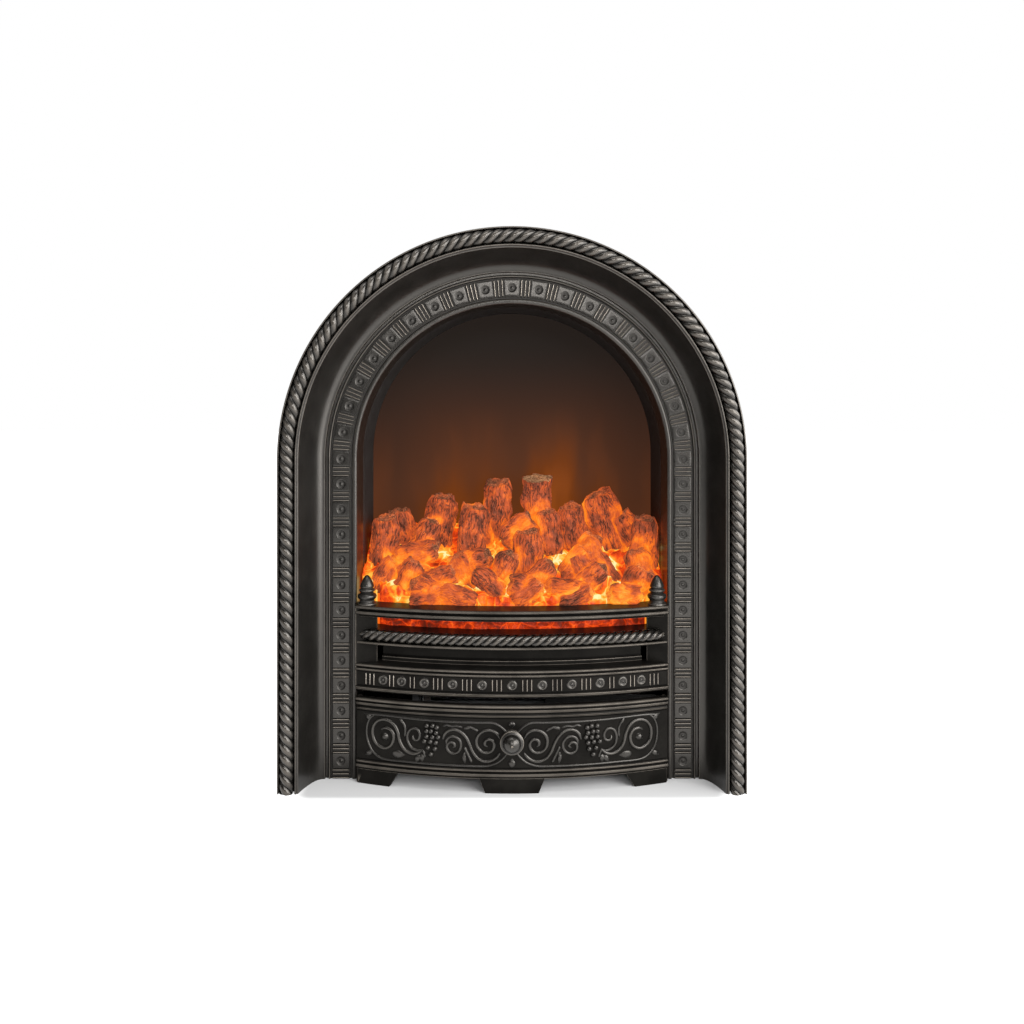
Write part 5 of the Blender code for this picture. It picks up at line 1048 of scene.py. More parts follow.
# Left half of the cover's vine, in millimetres from the middle of the panel's floor line. Each line of it has
# its points, its radius and how thin it starts and ends
VINES = (
    # border of the cartouche, over the top
    ([(-157.6, 77.6), (-151, 76.9), (-144.5, 77.5), (-130, 77.6), (-112, 76.9), (-88, 76.1), (-60, 75.7),
      (-34, 75.8), (-20, 75.9), (-13.2, 73.5), (-7.6, 69.0), (-3.6, 64.6)], 0.9, (0.3, 0.5)),
    # its left end and bottom
    ([(-144.5, 77.4), (-149.6, 73.6), (-153.2, 66.5), (-154.3, 57.2), (-152.8, 47.5), (-148.6, 38.6),
      (-142.0, 32.4), (-135.0, 29.9), (-126.0, 29.2), (-112, 29.3), (-90, 29.0), (-60, 28.8), (-34, 28.9),
      (-24, 29.6), (-14.6, 33.0), (-8.4, 38.0), (-4.4, 43.0)], 1.0, (0.5, 0.5)),
    # main spiral and stem
    ([(-137.0, 62.0), (-133.0, 64.1), (-127.4, 62.9), (-123.8, 58.3), (-123.6, 52.0), (-126.4, 45.6),
      (-132.4, 42.0), (-138.6, 43.0), (-144.6, 48.2), (-147.2, 56.0), (-146.2, 64.4), (-141.6, 70.6),
      (-134.8, 73.2), (-127.6, 71.8), (-121.8, 66.8), (-118.6, 60.0), (-117.0, 52.4), (-113.8, 45.6),
      (-108.6, 40.6), (-102.4, 38.8), (-96.6, 40.2), (-91.6, 44.6)], 1.45, (0.5, 0.5)),
    # curl beside the grapes
    ([(-92.2, 43.6), (-98.4, 42.8), (-104.0, 45.6), (-107.6, 51.4), (-108.2, 58.4), (-105.6, 64.2),
      (-101.0, 66.4), (-96.6, 64.6), (-94.8, 59.8), (-96.0, 55.0), (-99.6, 53.6), (-102.4, 55.8),
      (-102.2, 59.0)], 1.15, (0.5, 0.35)),
    # curl after the grapes
    ([(-66.8, 51.0), (-66.2, 56.4), (-62.0, 60.0), (-56.4, 59.4), (-52.2, 55.2), (-51.6, 49.2),
      (-54.4, 43.8), (-59.8, 41.8), (-64.6, 44.4), (-66.2, 49.4), (-63.6, 53.4), (-59.4, 53.2),
      (-57.8, 49.8), (-60.0, 47.6)], 1.15, (0.5, 0.35)),
    # stem from the curl to the knob
    ([(-70.4, 56.6), (-68.2, 62.6), (-63.6, 66.6), (-57.6, 67.6), (-51.6, 65.2), (-46.2, 59.6),
      (-42.6, 52.6), (-39.6, 45.0), (-34.8, 38.2), (-28.2, 34.6), (-21.4, 35.0), (-15.4, 38.6),
      (-11.4, 43.4)], 1.35, (0.5, 0.5)),
    # spiral at the knob
    ([(-11.6, 59.4), (-14.6, 64.6), (-20.4, 67.8), (-27.0, 67.4), (-32.6, 63.6), (-35.4, 57.4),
      (-34.6, 50.6), (-30.6, 45.4), (-25.0, 43.6), (-19.8, 46.0), (-17.4, 51.0), (-18.4, 56.0),
      (-22.4, 58.2), (-26.2, 56.4), (-26.8, 52.4), (-24.2, 50.0)], 1.3, (0.5, 0.35)),
    # tendrils
    ([(-116.4, 75.0), (-113.2, 71.6), (-111.0, 67.0), (-110.6, 61.0), (-111.4, 56.0)], 1.0, (0.6, 0.2)),
    ([(-70.6, 70.4), (-66.4, 72.0), (-61.4, 70.8), (-55.6, 71.4), (-50.2, 70.2)], 0.85, (0.3, 0.3)),
    ([(-48.4, 68.2), (-43.4, 70.8), (-39.0, 69.6), (-33.8, 66.6)], 1.0, (0.3, 0.4)),
    ([(-48.2, 50.0), (-45.2, 43.6), (-42.6, 38.0), (-40.2, 32.4)], 1.1, (0.4, 0.2)),
    ([(-47.6, 44.0), (-48.0, 39.4), (-46.6, 35.0)], 1.0, (0.4, 0.2)),
    ([(-91.6, 43.4), (-90.0, 39.6), (-89.6, 35.6)], 1.0, (0.4, 0.3)),
)
LEAVES = (
    ((-114.4, 73.0), 8.5, 2.6, -58),
    ((-118.0, 36.6), 13.5, 7.0, -4),
    ((-97.4, 33.6), 9.0, 4.6, -118),
    ((-92.6, 34.4), 8.4, 4.4, -86),
    ((-48.0, 36.6), 10.0, 3.6, -82),
    ((-44.2, 70.2), 9.0, 3.0, 12),
    ((-152.6, 74.8), 9.0, 5.0, 140),
    ((-152.2, 34.2), 9.0, 5.0, -150),
)
GRAPES = (
    (-88.4, 70.4), (-82.2, 70.7), (-77.6, 69.1),
    (-88.6, 64.6), (-83.9, 64.7), (-78.4, 63.3),
    (-88.6, 58.8), (-82.4, 58.4), (-76.2, 58.7),
    (-91.0, 53.5), (-84.5, 53.4), (-78.6, 52.6),
    (-87.0, 46.8), (-79.7, 46.0),
    (-84.0, 39.8),
)


class FIRE_OT_ashpan_cover(Operator):
    """Makes the bowed cover on its feet, with its mouldings, scrolls and knob"""

    bl_idname = "fire.ashpan_cover"
    bl_label = "Ash pan cover"

    def execute(self, context):
        sizes = context.scene.fire_sizes
        half = along_bow(sizes, sizes.opening_radius - COVER_PLAY)
        section = [
            (0.0951, -0.0085), (0.0951, -0.0026), (0.0947, -0.0010), (0.0938, 0.0), (0.0926, 0.0),
            (0.0917, -0.0010), (0.0911, -0.0019), (0.0903, -0.0014), (0.0896, -0.0006), (0.0884, -0.0004),
            (0.0873, -0.0009), (0.0866, -0.0022), (0.0856, -0.0024), (0.0846, -0.0019), (0.0835, -0.0016),
            (0.0822, -0.0019), (0.0812, -0.0028), (0.0805, -PANEL_DROP), (0.0270, -PANEL_DROP),
            (0.0262, -0.0024), (0.0252, -0.0016), (0.0240, -0.0016), (0.0232, -0.0024), (0.0226, -0.0028),
            (0.0220, -0.0018), (0.0212, -0.0004), (0.0200, 0.0), (0.0188, -0.0004), (0.0180, -0.0020),
            (0.0176, -0.0030), (0.0155, -0.0030), (0.0155, -0.0085),
        ]
        cover = gather(bow_casting(sizes, section, half, 0.00025), *self.feet(sizes, half))
        piece("cover_casting", cover, grate_iron(), ["ashpan_cover"], "cover", 32)
        self.scrolls(sizes)
        self.knob(sizes)
        return {"FINISHED"}

    def feet(self, sizes, half):
        """Three tapered feet and the two end returns."""
        outer, top = half - 0.0001, 0.0160
        right = [(outer, top), (outer, 0.0008), (outer - 0.0008, 0.0), (0.1368, 0.0), (0.1265, top)]
        left = [(-x, z) for x, z in right]
        middle = [(-0.0355, top), (-0.0290, 0.0), (0.0290, 0.0), (0.0355, top)]
        shapes = []
        for ring in (left, right, middle):
            low, high = min(x for x, _ in ring), max(x for x, _ in ring)
            cuts = [low + (high - low) * i / 6 for i in range(1, 6)]
            shape = slab(rounded(ring, 0.0008, 2), -0.0085, -0.0030, cuts)
            bend_on_bow(shape, sizes)
            shapes.append(shape)
        outer = sizes.opening_radius - COVER_PLAY
        inner, face, back = outer - 0.0035, FRONT_Y + 0.041, FRONT_Y + 0.056
        for side in (-1, 1):
            ring = [(side * outer, face), (side * inner, face), (side * inner, back), (side * outer, back)]
            shapes.append(slab(ring, 0.0004, 0.0920))
        return shapes

    def scrolls(self, sizes):
        """Vines, leaves and grapes on the panel, mirrored about its middle."""
        half = bmesh.new()
        for points, radius, ends in VINES:
            merge(half, vine(points, VINE_GIRTH * radius / 1000, ends))
        for shape in LEAVES:
            stamp(half, leaf(*shape), Matrix.Translation((VINE_SHIFT, 0, 0)))
        grape = bmesh.new()
        bmesh.ops.create_uvsphere(grape, u_segments=16, v_segments=10, radius=sizes.grape_radius)
        for x, y in GRAPES:
            stamp(half, grape, Matrix.Translation((GRAPE_STRETCH * x / 1000 + GRAPE_SHIFT, y / 1000, 0.0008)))
        dome = [(0.0, 0.0030), (0.0012, 0.0028), (0.0026, 0.0021), (0.0036, 0.0012), (0.0044, 0.0004)]
        boss = spun([*dome, (0.0047, -0.0006)], 24)
        stamp(half, boss, Matrix.Translation((-0.1424, 0.0545, 0)))
        whole = bmesh.new()
        sunk = Matrix.Translation((0, 0, -PANEL_DROP))
        stamp(whole, half, sunk)
        stamp(whole, half, sunk @ Matrix.Diagonal((-1, 1, 1, 1)))
        for place, reach, angle in (((0.0, 33.0), 9.0, 90), ((0.0, 74.0), 6.0, -90)):
            stamp(whole, leaf(place, reach, 6.0, angle), sunk)
        lift(whole, -0.0028, -0.0014)
        bend_on_bow(whole, sizes)
        bmesh.ops.recalc_face_normals(whole, faces=whole.faces)
        piece("cover_scrolls", whole, relief_iron(), (), "cover", 60)

    def knob(self, sizes):
        """Domed knob with a small tip, a collar and a stem through the panel."""
        panel_y = FRONT_Y + sizes.bow_depth + PANEL_DROP
        reach = panel_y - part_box("cover_knob")[0].y
        profile = [
            (0.0, reach), (0.0008, reach - 0.0001), (0.0014, reach - 0.0008), (0.0016, reach - 0.0016),
            (0.0030, reach - 0.0021), (0.0054, reach - 0.0031), (0.0074, reach - 0.0046),
            (0.0089, reach - 0.0066), (0.0096, reach - 0.0088), (0.0098, reach - 0.0101),
            (0.0104, reach - 0.0106), (0.0120, reach - 0.0110), (0.0127, reach - 0.0118),
            (0.0124, reach - 0.0130), (0.0098, reach - 0.0142), (0.0064, reach - 0.0152),
            (0.0058, 0.0052), (0.0064, 0.0042), (0.0084, 0.0035), (0.0097, 0.0025), (0.0100, 0.0008),
            (0.0096, 0.0), (0.0, 0.0),
        ]
        bm = spun(profile, 56)
        merge(bm, spun([(0.0, 0.0), (0.0025, 0.0), (0.0025, -0.0102), (0.0, -0.0102)], 20))
        bmesh.ops.rotate(bm, verts=bm.verts, cent=(0, 0, 0), matrix=Matrix.Rotation(math.pi / 2, 3, "X"))
        x, _, z = box_centre("cover_knob")
        bmesh.ops.translate(bm, verts=bm.verts, vec=(x, panel_y, z))
        bmesh.ops.recalc_face_normals(bm, faces=bm.faces)
        piece("knob_turned", bm, relief_iron(), ["cover_knob"], "cover", 40)


# Fuel bed

LOG_GIRTH = 1.14
DECK_TOP, BED_FOOT = 0.1499, 0.1500
# Standing and lying logs: name of the CAD log or "", x, depth, foot height, length and radius in metres, and
# the degrees that they lean to the right and back
LOGS = (
    ("log_tall", 0.0310, 0.1480, 0.2440, 0.0835, 0.0160, 0, 0),
    ("log_back_left", -0.0205, 0.1540, 0.2440, 0.0775, 0.0158, 3, 0),
    ("log_left", -0.0915, 0.1450, 0.2360, 0.0700, 0.0165, 6, 4),
    ("log_right", 0.1260, 0.1430, 0.2320, 0.0800, 0.0190, -15, 4),
    ("log_centre", 0.0180, 0.0960, 0.2150, 0.0540, 0.0172, 0, 6),
    ("log_far_right", 0.1530, 0.1030, 0.2180, 0.0660, 0.0150, 3, 3),
    ("log_far_left", -0.1530, 0.1130, 0.2250, 0.0580, 0.0150, 5, 3),
    ("log_front", 0.0850, 0.0560, 0.2070, 0.0440, 0.0125, -84, 0),
    ("", -0.1280, 0.1480, 0.2380, 0.0500, 0.0150, -12, 5),
    ("", -0.1350, 0.0960, 0.2370, 0.0480, 0.0130, 76, 0),
    ("", -0.1000, 0.0700, 0.2080, 0.0400, 0.0135, 62, 0),
    ("", -0.1250, 0.0720, 0.2060, 0.0340, 0.0140, 30, 10),
    ("", -0.0500, 0.1180, 0.2220, 0.0740, 0.0155, 4, 6),
    ("", -0.0430, 0.0780, 0.2020, 0.0460, 0.0145, -28, 8),
    ("", -0.0240, 0.0720, 0.1950, 0.0560, 0.0115, 24, 6),
    ("", -0.0780, 0.0560, 0.1960, 0.0380, 0.0135, -55, 0),
    ("", 0.0480, 0.1220, 0.2400, 0.0500, 0.0130, -8, 4),
    ("", 0.0760, 0.1420, 0.2430, 0.0500, 0.0160, -6, 4),
    ("", 0.0700, 0.1050, 0.2130, 0.0560, 0.0130, 28, 4),
    ("", 0.1180, 0.0860, 0.2060, 0.0600, 0.0120, -32, 8),
    ("", 0.0960, 0.0780, 0.2050, 0.0480, 0.0125, -30, 6),
    ("", 0.1350, 0.0680, 0.2010, 0.0340, 0.0150, 28, 0),
    ("", 0.0330, 0.0540, 0.2010, 0.0380, 0.0135, -64, 0),
    ("", -0.1530, 0.0860, 0.2060, 0.0360, 0.0125, 32, 0),
    ("", -0.0100, 0.1180, 0.2560, 0.0400, 0.0125, 52, 4),
    ("", 0.0000, 0.0500, 0.1980, 0.0360, 0.0120, 58, 0),
    ("", 0.0600, 0.0860, 0.2180, 0.0420, 0.0120, 38, 0),
    ("", 0.1530, 0.0800, 0.2080, 0.0420, 0.0140, -14, 4),
    ("", -0.0680, 0.0900, 0.2260, 0.0420, 0.0130, 70, 0),
    ("", 0.1120, 0.0540, 0.2000, 0.0340, 0.0120, 76, 0),
    ("", -0.1100, 0.1150, 0.2380, 0.0440, 0.0130, 20, 6),
    ("", 0.1450, 0.1330, 0.2500, 0.0380, 0.0120, -20, 0),
    ("", -0.0300, 0.1450, 0.2500, 0.0420, 0.0120, -25, 0),
    ("", -0.1120, 0.0500, 0.1975, 0.0380, 0.0110, 74, 0),
    ("", -0.0400, 0.0480, 0.1965, 0.0420, 0.0105, -74, 0),
    ("", 0.0560, 0.0470, 0.1965, 0.0340, 0.0100, 68, 0),
    ("", 0.1400, 0.0520, 0.1975, 0.0320, 0.0110, -76, 0),
    ("", -0.0120, 0.0600, 0.2030, 0.0400, 0.0115, -48, 4),
    ("", 0.0180, 0.0680, 0.2080, 0.0380, 0.0115, 42, 6),
    ("", -0.0950, 0.0860, 0.2180, 0.0440, 0.0120, -64, 0),
    ("", 0.0740, 0.0660, 0.2080, 0.0380, 0.0110, 50, 4),
)


def log_matrix(place):
    """Where a log stands, from its own middle."""
    x, depth, foot, reach, _, lean, back = place
    return (
        Matrix.Translation((x, FRONT_Y + depth, foot))
        @ Matrix.Rotation(math.radians(lean), 4, "Y")
        @ Matrix.Rotation(math.radians(-back), 4, "X")
        @ Matrix.Translation((0, 0, reach / 2))
    )


def log_shape(place, seed, worn, rings=22, sides=44):
    """A cut branch: ridged bark, worn shoulders and rough sawn ends, with its grain kept as an attribute."""
    _, _, _, reach, radius, _, _ = place
    rng = random.Random(seed)
    corners, turn = rng.choice((5, 6, 7)), rng.uniform(0, math.tau)
    shift = Vector((rng.uniform(-9, 9), rng.uniform(-9, 9), rng.uniform(-9, 9)))
    bm = bmesh.new()
    grain = bm.verts.layers.float_vector.new("grain")
    heat = bm.verts.layers.float.new("warmth")
    cut_end = bm.verts.layers.float.new("cut")
    bmesh.ops.create_cone(
        bm, cap_ends=True, cap_tris=False, segments=sides, radius1=radius, radius2=radius, depth=reach
    )
    sides_of = [e for e in bm.edges if abs(e.verts[0].co.z - e.verts[1].co.z) > reach / 2]
    bmesh.ops.subdivide_edges(bm, edges=sides_of, cuts=rings)
    for end in (-1, 1):
        cap = [f for f in bm.faces if len(f.verts) == sides and f.calc_center_median().z * end > 0]
        for thickness in (0.0014, 0.22 * radius, 0.32 * radius):
            bmesh.ops.inset_region(bm, faces=cap, thickness=thickness)
        bmesh.ops.poke(bm, faces=cap)
    for vert in bm.verts:
        place_in = vert.co.copy()
        ring = math.hypot(place_in.x, place_in.y)
        spot = place_in + shift
        vert[grain] = spot
        at_end = abs(place_in.z) > reach / 2 - 1e-6
        vert[cut_end] = 1.0 - 0.75 * worn if at_end and ring < 0.93 * radius else 0.0
        vert[heat] = 0.0
        side = Vector((place_in.x, place_in.y, 0.0)).normalized() if ring > 1e-7 else Vector((0, 0, 0))
        long_way = Vector((place_in.x, place_in.y, 0.30 * place_in.z))
        swell = noise.noise(spot * 42) * 0.24 + noise.noise((long_way + shift) * 150) * 0.14
        ridge = abs(noise.noise((long_way + shift * 3) * 260)) * 0.16
        bite = max(0.0, noise.noise((place_in + shift * 2) * 70) - 0.18) * 0.55
        wedge = (math.atan2(place_in.y, place_in.x) + turn) % (math.tau / corners) - math.pi / corners
        facet = 0.30 * (math.cos(math.pi / corners) / math.cos(wedge) - 0.86)
        shoulder = max(0.0, abs(place_in.z) / radius - reach / 2 / radius + 0.6) / 0.6
        relief = swell - ridge - bite + facet - 0.24 * worn * shoulder**2
        vert.co += side * radius * relief * min(1.0, ring / radius)
        if at_end:
            chips = noise.noise(spot * 90) * 0.0050 + noise.noise(spot * 300) * 0.0016
            dome = math.copysign(0.0012 * worn * (1 - (ring / radius) ** 2), place_in.z)
            slant = (0.28 - 0.10 * worn) * place_in.y if place_in.z > 0 else 0.0
            vert.co.z += chips + dome + slant + sawn_slant(shift, place_in)
    bmesh.ops.recalc_face_normals(bm, faces=bm.faces)
    return bm


def sawn_slant(shift, place_in):
    """Slant of a sawn end."""
    return 0.12 * (math.sin(shift.x) * place_in.x + math.cos(shift.y) * place_in.y)


def log_axes(places):
    """Foot and head of each log's middle line, and its radius."""
    feet, heads, radii = [], [], []
    for place in places:
        matrix, reach = log_matrix(place), place[3]
        feet.append(matrix @ Vector((0, 0, -reach / 2)))
        heads.append(matrix @ Vector((0, 0, reach / 2)))
        radii.append(place[4])
    return np.array(feet), np.array(heads), np.array(radii)


def closeness(points, axes, skip=-1):
    """How near each point comes to the skin of another log, in metres."""
    feet, heads, radii = axes
    nearest = np.full(len(points), 1.0)
    for i, (foot, head, radius) in enumerate(zip(feet, heads, radii, strict=True)):
        if i == skip:
            continue
        line = head - foot
        share = np.clip(((points - foot) @ line) / (line @ line), 0.0, 1.0)
        gap = np.linalg.norm(points - (foot + share[:, None] * line), axis=1) - radius
        nearest = np.minimum(nearest, gap)
    return nearest


def bed_level(x, depth):
    """Height of the ember slope."""
    waves = math.sin(95 * x + 1.3) * math.sin(120 * depth + 0.4)
    return 0.1960 + max(0.0, 0.5 * (depth - 0.036)) + 0.003 * waves


def set_glow(bm, axes, skip, base, blaze, reach):
    """Writes how brightly each point glows: where pieces nearly touch, and low over the slope; painted light
    on the logs.
    """
    heat = bm.verts.layers.float["warmth"]
    points = np.array([vert.co[:] for vert in bm.verts])
    gaps = closeness(points, axes, skip)
    for vert, gap in zip(bm.verts, gaps, strict=True):
        crevice = math.exp(-max(0.0, gap) / reach)
        rise = vert.co.z - bed_level(vert.co.x, vert.co.y - FRONT_Y)
        low = math.exp(-max(0.0, rise) / 0.032)
        top = max(0.0, min(1.0, (vert.co.z - 0.188) / 0.010))
        patch = max(0.0, 0.5 + 1.3 * noise.noise(vert.co * 48))
        # on the logs, painted light: glow painted where they nearly touch another log and low over the bed
        hot = blaze * patch**2 + crevice * (0.22 + 0.12 * low) + 0.08 * low * patch
        vert[heat] = max(0.0, min(1.0, base + hot * (0.12 + 0.88 * top)))


class FIRE_OT_fuel_bed(Operator):
    """Makes the glowing bed and the charred logs that stand in it"""

    bl_idname = "fire.fuel_bed"
    bl_label = "Fuel bed"

    def execute(self, context):
        places = [(*log[1:5], LOG_GIRTH * log[5], *log[6:]) for log in LOGS]
        axes = log_axes(places)
        bark = finish_named("charred_bark", charred)
        loose = bmesh.new()
        for i, place in enumerate(places):
            node = LOGS[i][0]
            shape = log_shape(place, 60 + i, 0.0 if node == "log_tall" else 1.0)
            bmesh.ops.transform(shape, matrix=log_matrix(place), verts=shape.verts)
            set_glow(shape, axes, i, 0.0, 0.0, 0.0026)
            if node:
                piece(node + "_bark", shape, bark, [node], angle=70)
            else:
                merge(loose, shape)
        piece("moulded_logs", loose, bark, angle=70)
        piece("ember_bed", self.bed(axes), finish_named("glowing_ember", glowing), ["fuel_bed"], angle=70)
        return {"FINISHED"}

    def bed(self, axes):
        """Lumpy ember slope with an upright bowed front behind the rails."""
        sizes = bpy.context.scene.fire_sizes
        bm = bmesh.new()
        grain = bm.verts.layers.float_vector.new("grain")
        bm.verts.layers.float.new("warmth")
        grid = bmesh.ops.create_grid(bm, x_segments=230, y_segments=110, size=1.0)["verts"]
        radius = sizes.bow_radius - 0.0365
        bow_y = sizes.bow_depth + sizes.bow_radius
        side, back, cheek, cheek_back = sizes.opening_radius - 0.0016, 0.1800, 0.1500, 0.0755
        upright = 0.22
        for vert in grid:
            across, share = vert.co.x, (vert.co.y + 1) / 2
            front_x = 0.1495 * across
            front = bow_y - math.sqrt(radius**2 - front_x**2)
            if share < upright:
                depth, x = front, front_x
                z = BED_FOOT + (bed_level(x, depth) - BED_FOOT) * share / upright
                out = Vector((0, -1, 0))
            else:
                run = (share - upright) / (1 - upright)
                depth = front + (back - front) * run
                x = front_x + (side * across - front_x) * min(1.0, run / 0.12)
                if abs(x) > cheek and depth < cheek_back:
                    depth = cheek_back
                z = bed_level(x, depth)
                out = Vector((0, -0.3, 0.95))
            place = Vector((x, FRONT_Y + depth, z))
            vert[grain] = place
            swell = noise.noise(place * 75) + 0.5 * noise.noise(place * 160)
            lump = 0.0042 * swell + 0.0030 * (0.5 - min(1.0, noise.cell(place * 70)))
            edge = min(1.0, share / 0.04, (1 - share) / 0.03)
            vert.co = place + out * lump * edge
        set_glow(bm, axes, -1, 0.05, 0.62, 0.0065)
        back_skirt = [e for e in bm.edges if e.is_boundary]
        grown = bmesh.ops.extrude_edge_only(bm, edges=back_skirt)["geom"]
        for part in grown:
            if isinstance(part, bmesh.types.BMVert):
                part.co.z = DECK_TOP
        rim = [e for e in bm.edges if e.is_boundary]
        bmesh.ops.holes_fill(bm, edges=rim, sides=0)
        bmesh.ops.recalc_face_normals(bm, faces=bm.faces)
        return bm


# Chamber, case and inner works


class FIRE_OT_works(Operator):
    """Finishes the lining, the screen, the case and the works behind them"""

    bl_idname = "fire.works"
    bl_label = "Case and works"

    def execute(self, context):
        sheet = finish_named("black_sheet", black_sheet)
        steel = finish_named("plated_steel", plain_metal, (0.46, 0.46, 0.45), 0.34, 60.0)
        dull = finish_named("dull_screw", plain_metal, (0.10, 0.10, 0.10), 0.42, 90.0)
        bright = finish_named("mill_aluminium", plain_metal, (0.66, 0.66, 0.67), 0.28, 80.0)
        black = finish_named("black_plastic", moulded, (0.020, 0.020, 0.021), 0.42)
        rubber = finish_named("black_rubber", moulded, (0.016, 0.016, 0.016), 0.80)
        white = finish_named("white_plastic", moulded, (0.72, 0.71, 0.66), 0.46)
        green = finish_named("circuit_board", moulded, (0.02, 0.14, 0.06), 0.38)
        dress(finish_named("flame_screen", smoked_screen), "flame_screen")
        dress(sheet, "case_front", "case_base", "rear_cover", "deck", "control_panel")
        # painted shade: the heater duct's steel is much darker than the plated steel, to look shaded inside
        # the case
        dress(finish_named("duct_steel", plain_metal, (0.14, 0.14, 0.14), 0.45, 60.0), "heater_duct")
        dress(steel, "flame_mask", "spinner_bracket", "spinner_motor", "fan_motor", "knob_nut")
        dress(bright, "fan_impeller", "spinner")
        dress(finish_named("oxidised_wire", plain_metal, (0.22, 0.19, 0.17), 0.5, 120.0), "heating_coil")
        dress(black, "rocker_1", "rocker_2", "rocker_3", "control_dial", "thermal_cutout")
        dress(rubber, "rubber_foot_1", "rubber_foot_2", "rubber_foot_3", "rubber_foot_4", "cable_gland")
        dress(white, "terminal_block")
        dress(green, "flame_led_board", "ember_led_board")
        membrane = spun([(0.0, 0.0), (0.0030, 0.0003), (0.0039, 0.0), (0.0039, -0.0012), (0.0, -0.0012)], 24)
        place = Matrix.Translation(box_centre("cable_gland")) @ Matrix.Rotation(-math.pi / 2, 4, "X")
        bmesh.ops.transform(membrane, matrix=place, verts=membrane.verts)
        piece("gland_membrane", membrane, rubber)
        screws = [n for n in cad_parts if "_screw_" in n]
        dress(dull, *screws)
        sizes = context.scene.fire_sizes
        inner, near, far, wall = sizes.opening_radius, sizes.reveal_depth + 0.0004, 0.1806, 0.0015
        lining = [(inner + wall, far), (inner + wall, near), (inner, near), (inner, far)]
        liner = arch_casting(sizes, lining, inner, 0.0001, DECK_TOP)
        piece("chamber_lining", liner, sheet, ["chamber_liner"], angle=32)
        low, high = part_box("case_shell")
        outer, near, far, flange = high.x, low.y - FRONT_Y, high.y - FRONT_Y, 0.0130
        section = [
            (outer, far), (outer, near), (outer - wall, near), (outer - wall, far - wall),
            (outer - flange, far - wall), (outer - flange, far),
        ]
        wrapper = arch_casting(sizes, section, outer, 0.0003, low.z)
        piece("case_wrapper", wrapper, sheet, ["case_shell"], angle=32)
        return {"FINISHED"}


# Stage

# Camera, from the photograph's floor line, arches and reveals
SENSOR = 36.0
FOCAL_PIXELS = 983.4
HORIZON_ROW = 400
CAMERA_DISTANCE, CAMERA_HEIGHT = 1.05, 0.423


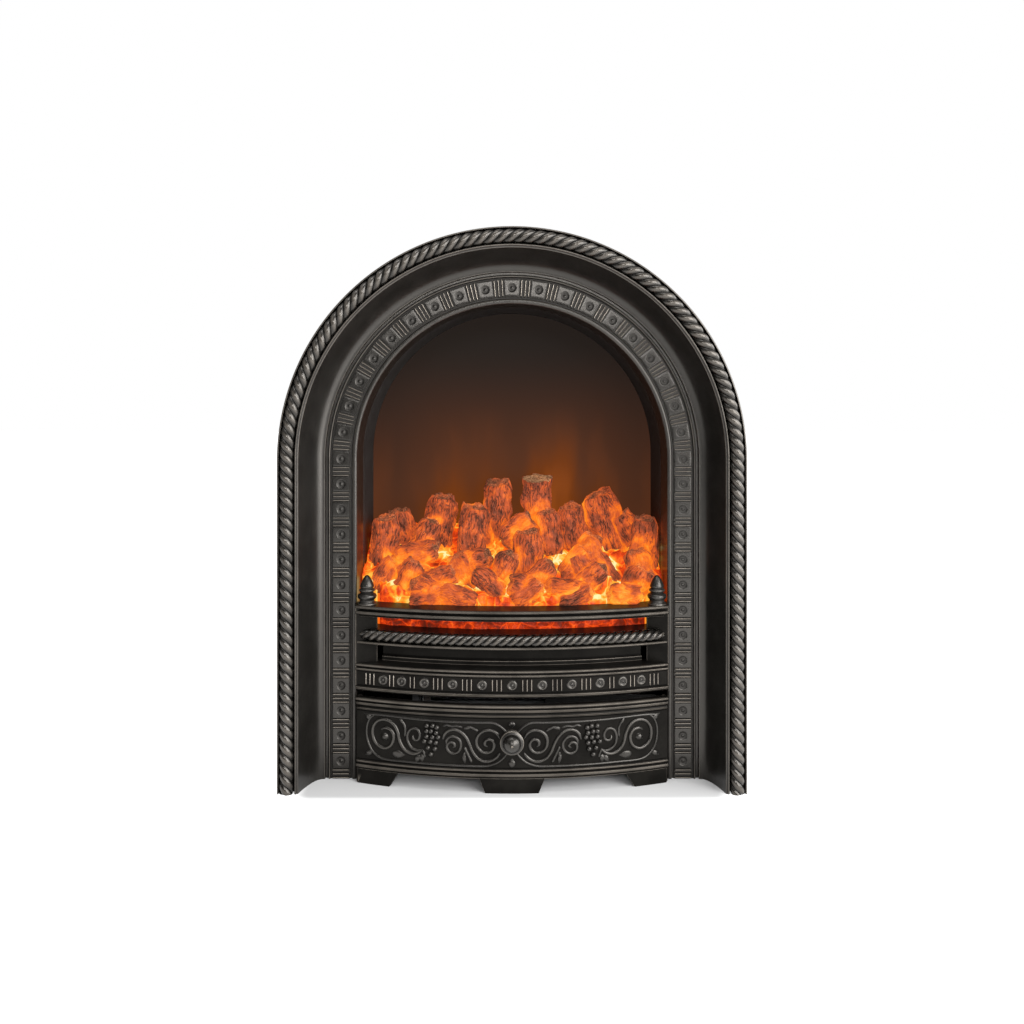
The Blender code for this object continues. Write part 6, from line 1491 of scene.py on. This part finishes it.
class FIRE_OT_stage(Operator):
    """Sets the floor, the pale surroundings, the lamps and the camera"""

    bl_idname = "fire.stage"
    bl_label = "Stage"

    def execute(self, context):
        self.floor()
        self.flags()
        self.surroundings(context)
        for name, place, size, power in (
            ("key_box", (1.35, -1.60, 0.88), (1.45, 1.5), 84.0),
            ("side_box", (1.95, -0.35, 0.82), (1.3, 1.3), 38.0),
            ("top_box", (-0.1, -0.90, 2.10), (1.0, 0.35), 10.0),
            ("crown_box", (0.02, -2.00, 0.88), (0.8, 0.30), 14.0),
        ):
            self.lamp(context, name, place, size, power)
        self.camera(context)
        context.scene.view_settings.view_transform = "Standard"
        return {"FINISHED"}

    def floor(self):
        """Floor seen almost white, its shadow by the feet deepened by painted shadow."""
        mix = Recipe("pale_floor")
        kinds = ("Camera", "Glossy", "Transmission")
        rays = [mix.node("LightPath", {}, {}, f"Is {kind} Ray") for kind in kinds]
        seen = (rays[0] + rays[1] + rays[2]).clamp()
        # painted shadow: a mask that is 0 on and just round the footprint and 1 farther out
        side = mix.node("VectorMath", {"operation": "ABSOLUTE"}, {0: mix.place()})
        side = mix.node("VectorMath", {"operation": "SUBTRACT"}, {0: side, 1: (0.215, 0.095, 0.0)})
        side = mix.node("VectorMath", {"operation": "MAXIMUM"}, {0: side, 1: (0.0, 0.0, 0.0)})
        clear_of_painted_shadow = mix.node("VectorMath", {"operation": "LENGTH"}, {0: side}, "Value").step(0.005, 0.030)
        # inside the painted shadow the floor's colour is darker and its white glow is off
        mix.principled(
            Base_Color=mix.mix(clear_of_painted_shadow, (0.50, 0.50, 0.50), (0.86, 0.86, 0.86)),
            Roughness=0.9,
            Specular_IOR_Level=0.0,
            Emission_Color=(1.0, 1.0, 1.0),
            Emission_Strength=seen * clear_of_painted_shadow * 0.80,
        )
        bm = bmesh.new()
        bmesh.ops.create_grid(bm, x_segments=1, y_segments=1, size=12.0)
        floor = linked("floor", mesh_of("floor", bm), mix.material)

    def flags(self):
        """Dark cards in front and to the left, which the satin castings mirror."""
        mix = Recipe("dark_card")
        felt = mix.clouds(mix.place(), 20.0, 3.0)
        mix.principled(Base_Color=mix.mix(felt, (0.02, 0.02, 0.02), (0.03, 0.03, 0.03)), Roughness=0.95)
        upright = Matrix.Rotation(math.pi / 2, 4, "X")
        for name, place, turn, width in (
            ("front_card", (0.0, -2.5, 1.25), 0, 4.6),
            ("left_card", (-2.4, -0.3, 1.25), 90, 2.8),
        ):
            bm = bmesh.new()
            bmesh.ops.create_grid(bm, x_segments=1, y_segments=1, size=0.5)
            stand = Matrix.Translation(place) @ Matrix.Rotation(math.radians(turn), 4, "Z") @ upright
            bmesh.ops.transform(bm, matrix=stand @ Matrix.Diagonal((width, 2.5, 1.0, 1.0)), verts=bm.verts)
            card = linked(name, mesh_of(name, bm), mix.material)
            card.visible_camera = card.visible_diffuse = card.visible_shadow = False

    def surroundings(self, context):
        """White surroundings, which light the fire with two thirds of what is seen."""
        world = bpy.data.worlds.new("surroundings")
        context.scene.world = world
        world.use_nodes = True
        nodes, links = world.node_tree.nodes, world.node_tree.links
        nodes["Background"].inputs["Color"].default_value = (1.0, 1.0, 1.0, 1.0)
        rays = nodes.new("ShaderNodeLightPath")
        seen = rays.outputs["Is Camera Ray"]
        for kind in ("Is Glossy Ray", "Is Transmission Ray"):
            either = nodes.new("ShaderNodeMath")
            either.operation = "MAXIMUM"
            links.new(seen, either.inputs[0])
            links.new(rays.outputs[kind], either.inputs[1])
            seen = either.outputs[0]
        level = nodes.new("ShaderNodeMapRange")
        level.inputs["To Min"].default_value = 0.66
        level.inputs["To Max"].default_value = 1.0
        links.new(seen, level.inputs["Value"])
        links.new(level.outputs["Result"], nodes["Background"].inputs["Strength"])

    def lamp(self, context, name, place, size, power):
        """Soft box that faces the fire."""
        data = bpy.data.lights.new(name, "AREA")
        data.shape = "RECTANGLE"
        data.size, data.size_y = size
        data.energy = power
        lamp = bpy.data.objects.new(name, data)
        lamp.location = place
        lamp.rotation_euler = (Vector((0, 0, 0.3)) - Vector(place)).to_track_quat("-Z", "Y").to_euler()
        context.scene.collection.objects.link(lamp)

    def camera(self, context):
        """Level camera at the photograph's height and distance."""
        data = bpy.data.cameras.new("camera")
        data.sensor_width = SENSOR
        data.lens = FOCAL_PIXELS * SENSOR / IMAGE
        data.shift_y = -(IMAGE / 2 - HORIZON_ROW) / IMAGE
        data.clip_start = 0.05
        camera = bpy.data.objects.new("camera", data)
        camera.location = (0.0, FRONT_Y - CAMERA_DISTANCE, CAMERA_HEIGHT)
        camera.rotation_euler = (math.pi / 2, 0.0, 0.0)
        context.scene.collection.objects.link(camera)
        context.scene.camera = camera


class FIRE_PT_panel(Panel):
    """Lists the fire's sizes, colours and makers"""

    bl_idname = "FIRE_PT_panel"
    bl_label = "Arched Electric Fire"
    bl_space_type = "VIEW_3D"
    bl_region_type = "UI"
    bl_category = "Fire"

    def draw(self, context):
        for group in (context.scene.fire_sizes, context.scene.fire_colours):
            box = self.layout.box()
            for name in type(group).__annotations__:
                box.prop(group, name)
        for maker in MAKERS:
            self.layout.operator(maker.bl_idname)


MAKERS = (
    FIRE_OT_outer_arch,
    FIRE_OT_inner_arch,
    FIRE_OT_grate_front,
    FIRE_OT_ashpan_cover,
    FIRE_OT_fuel_bed,
    FIRE_OT_works,
    FIRE_OT_stage,
)
CLASSES = (FireSizes, FireColours, *MAKERS, FIRE_PT_panel)


def register():
    for cls in CLASSES:
        bpy.utils.register_class(cls)
    bpy.types.Scene.fire_sizes = PointerProperty(type=FireSizes)
    bpy.types.Scene.fire_colours = PointerProperty(type=FireColours)


def unregister():
    del bpy.types.Scene.fire_colours
    del bpy.types.Scene.fire_sizes
    for cls in reversed(CLASSES):
        bpy.utils.unregister_class(cls)


def main():
    register()
    bpy.ops.fire.outer_arch()
    bpy.ops.fire.inner_arch()
    bpy.ops.fire.grate_front()
    bpy.ops.fire.ashpan_cover()
    bpy.ops.fire.fuel_bed()
    bpy.ops.fire.works()
    bpy.ops.fire.stage()


if __name__ == "__main__":
    main()
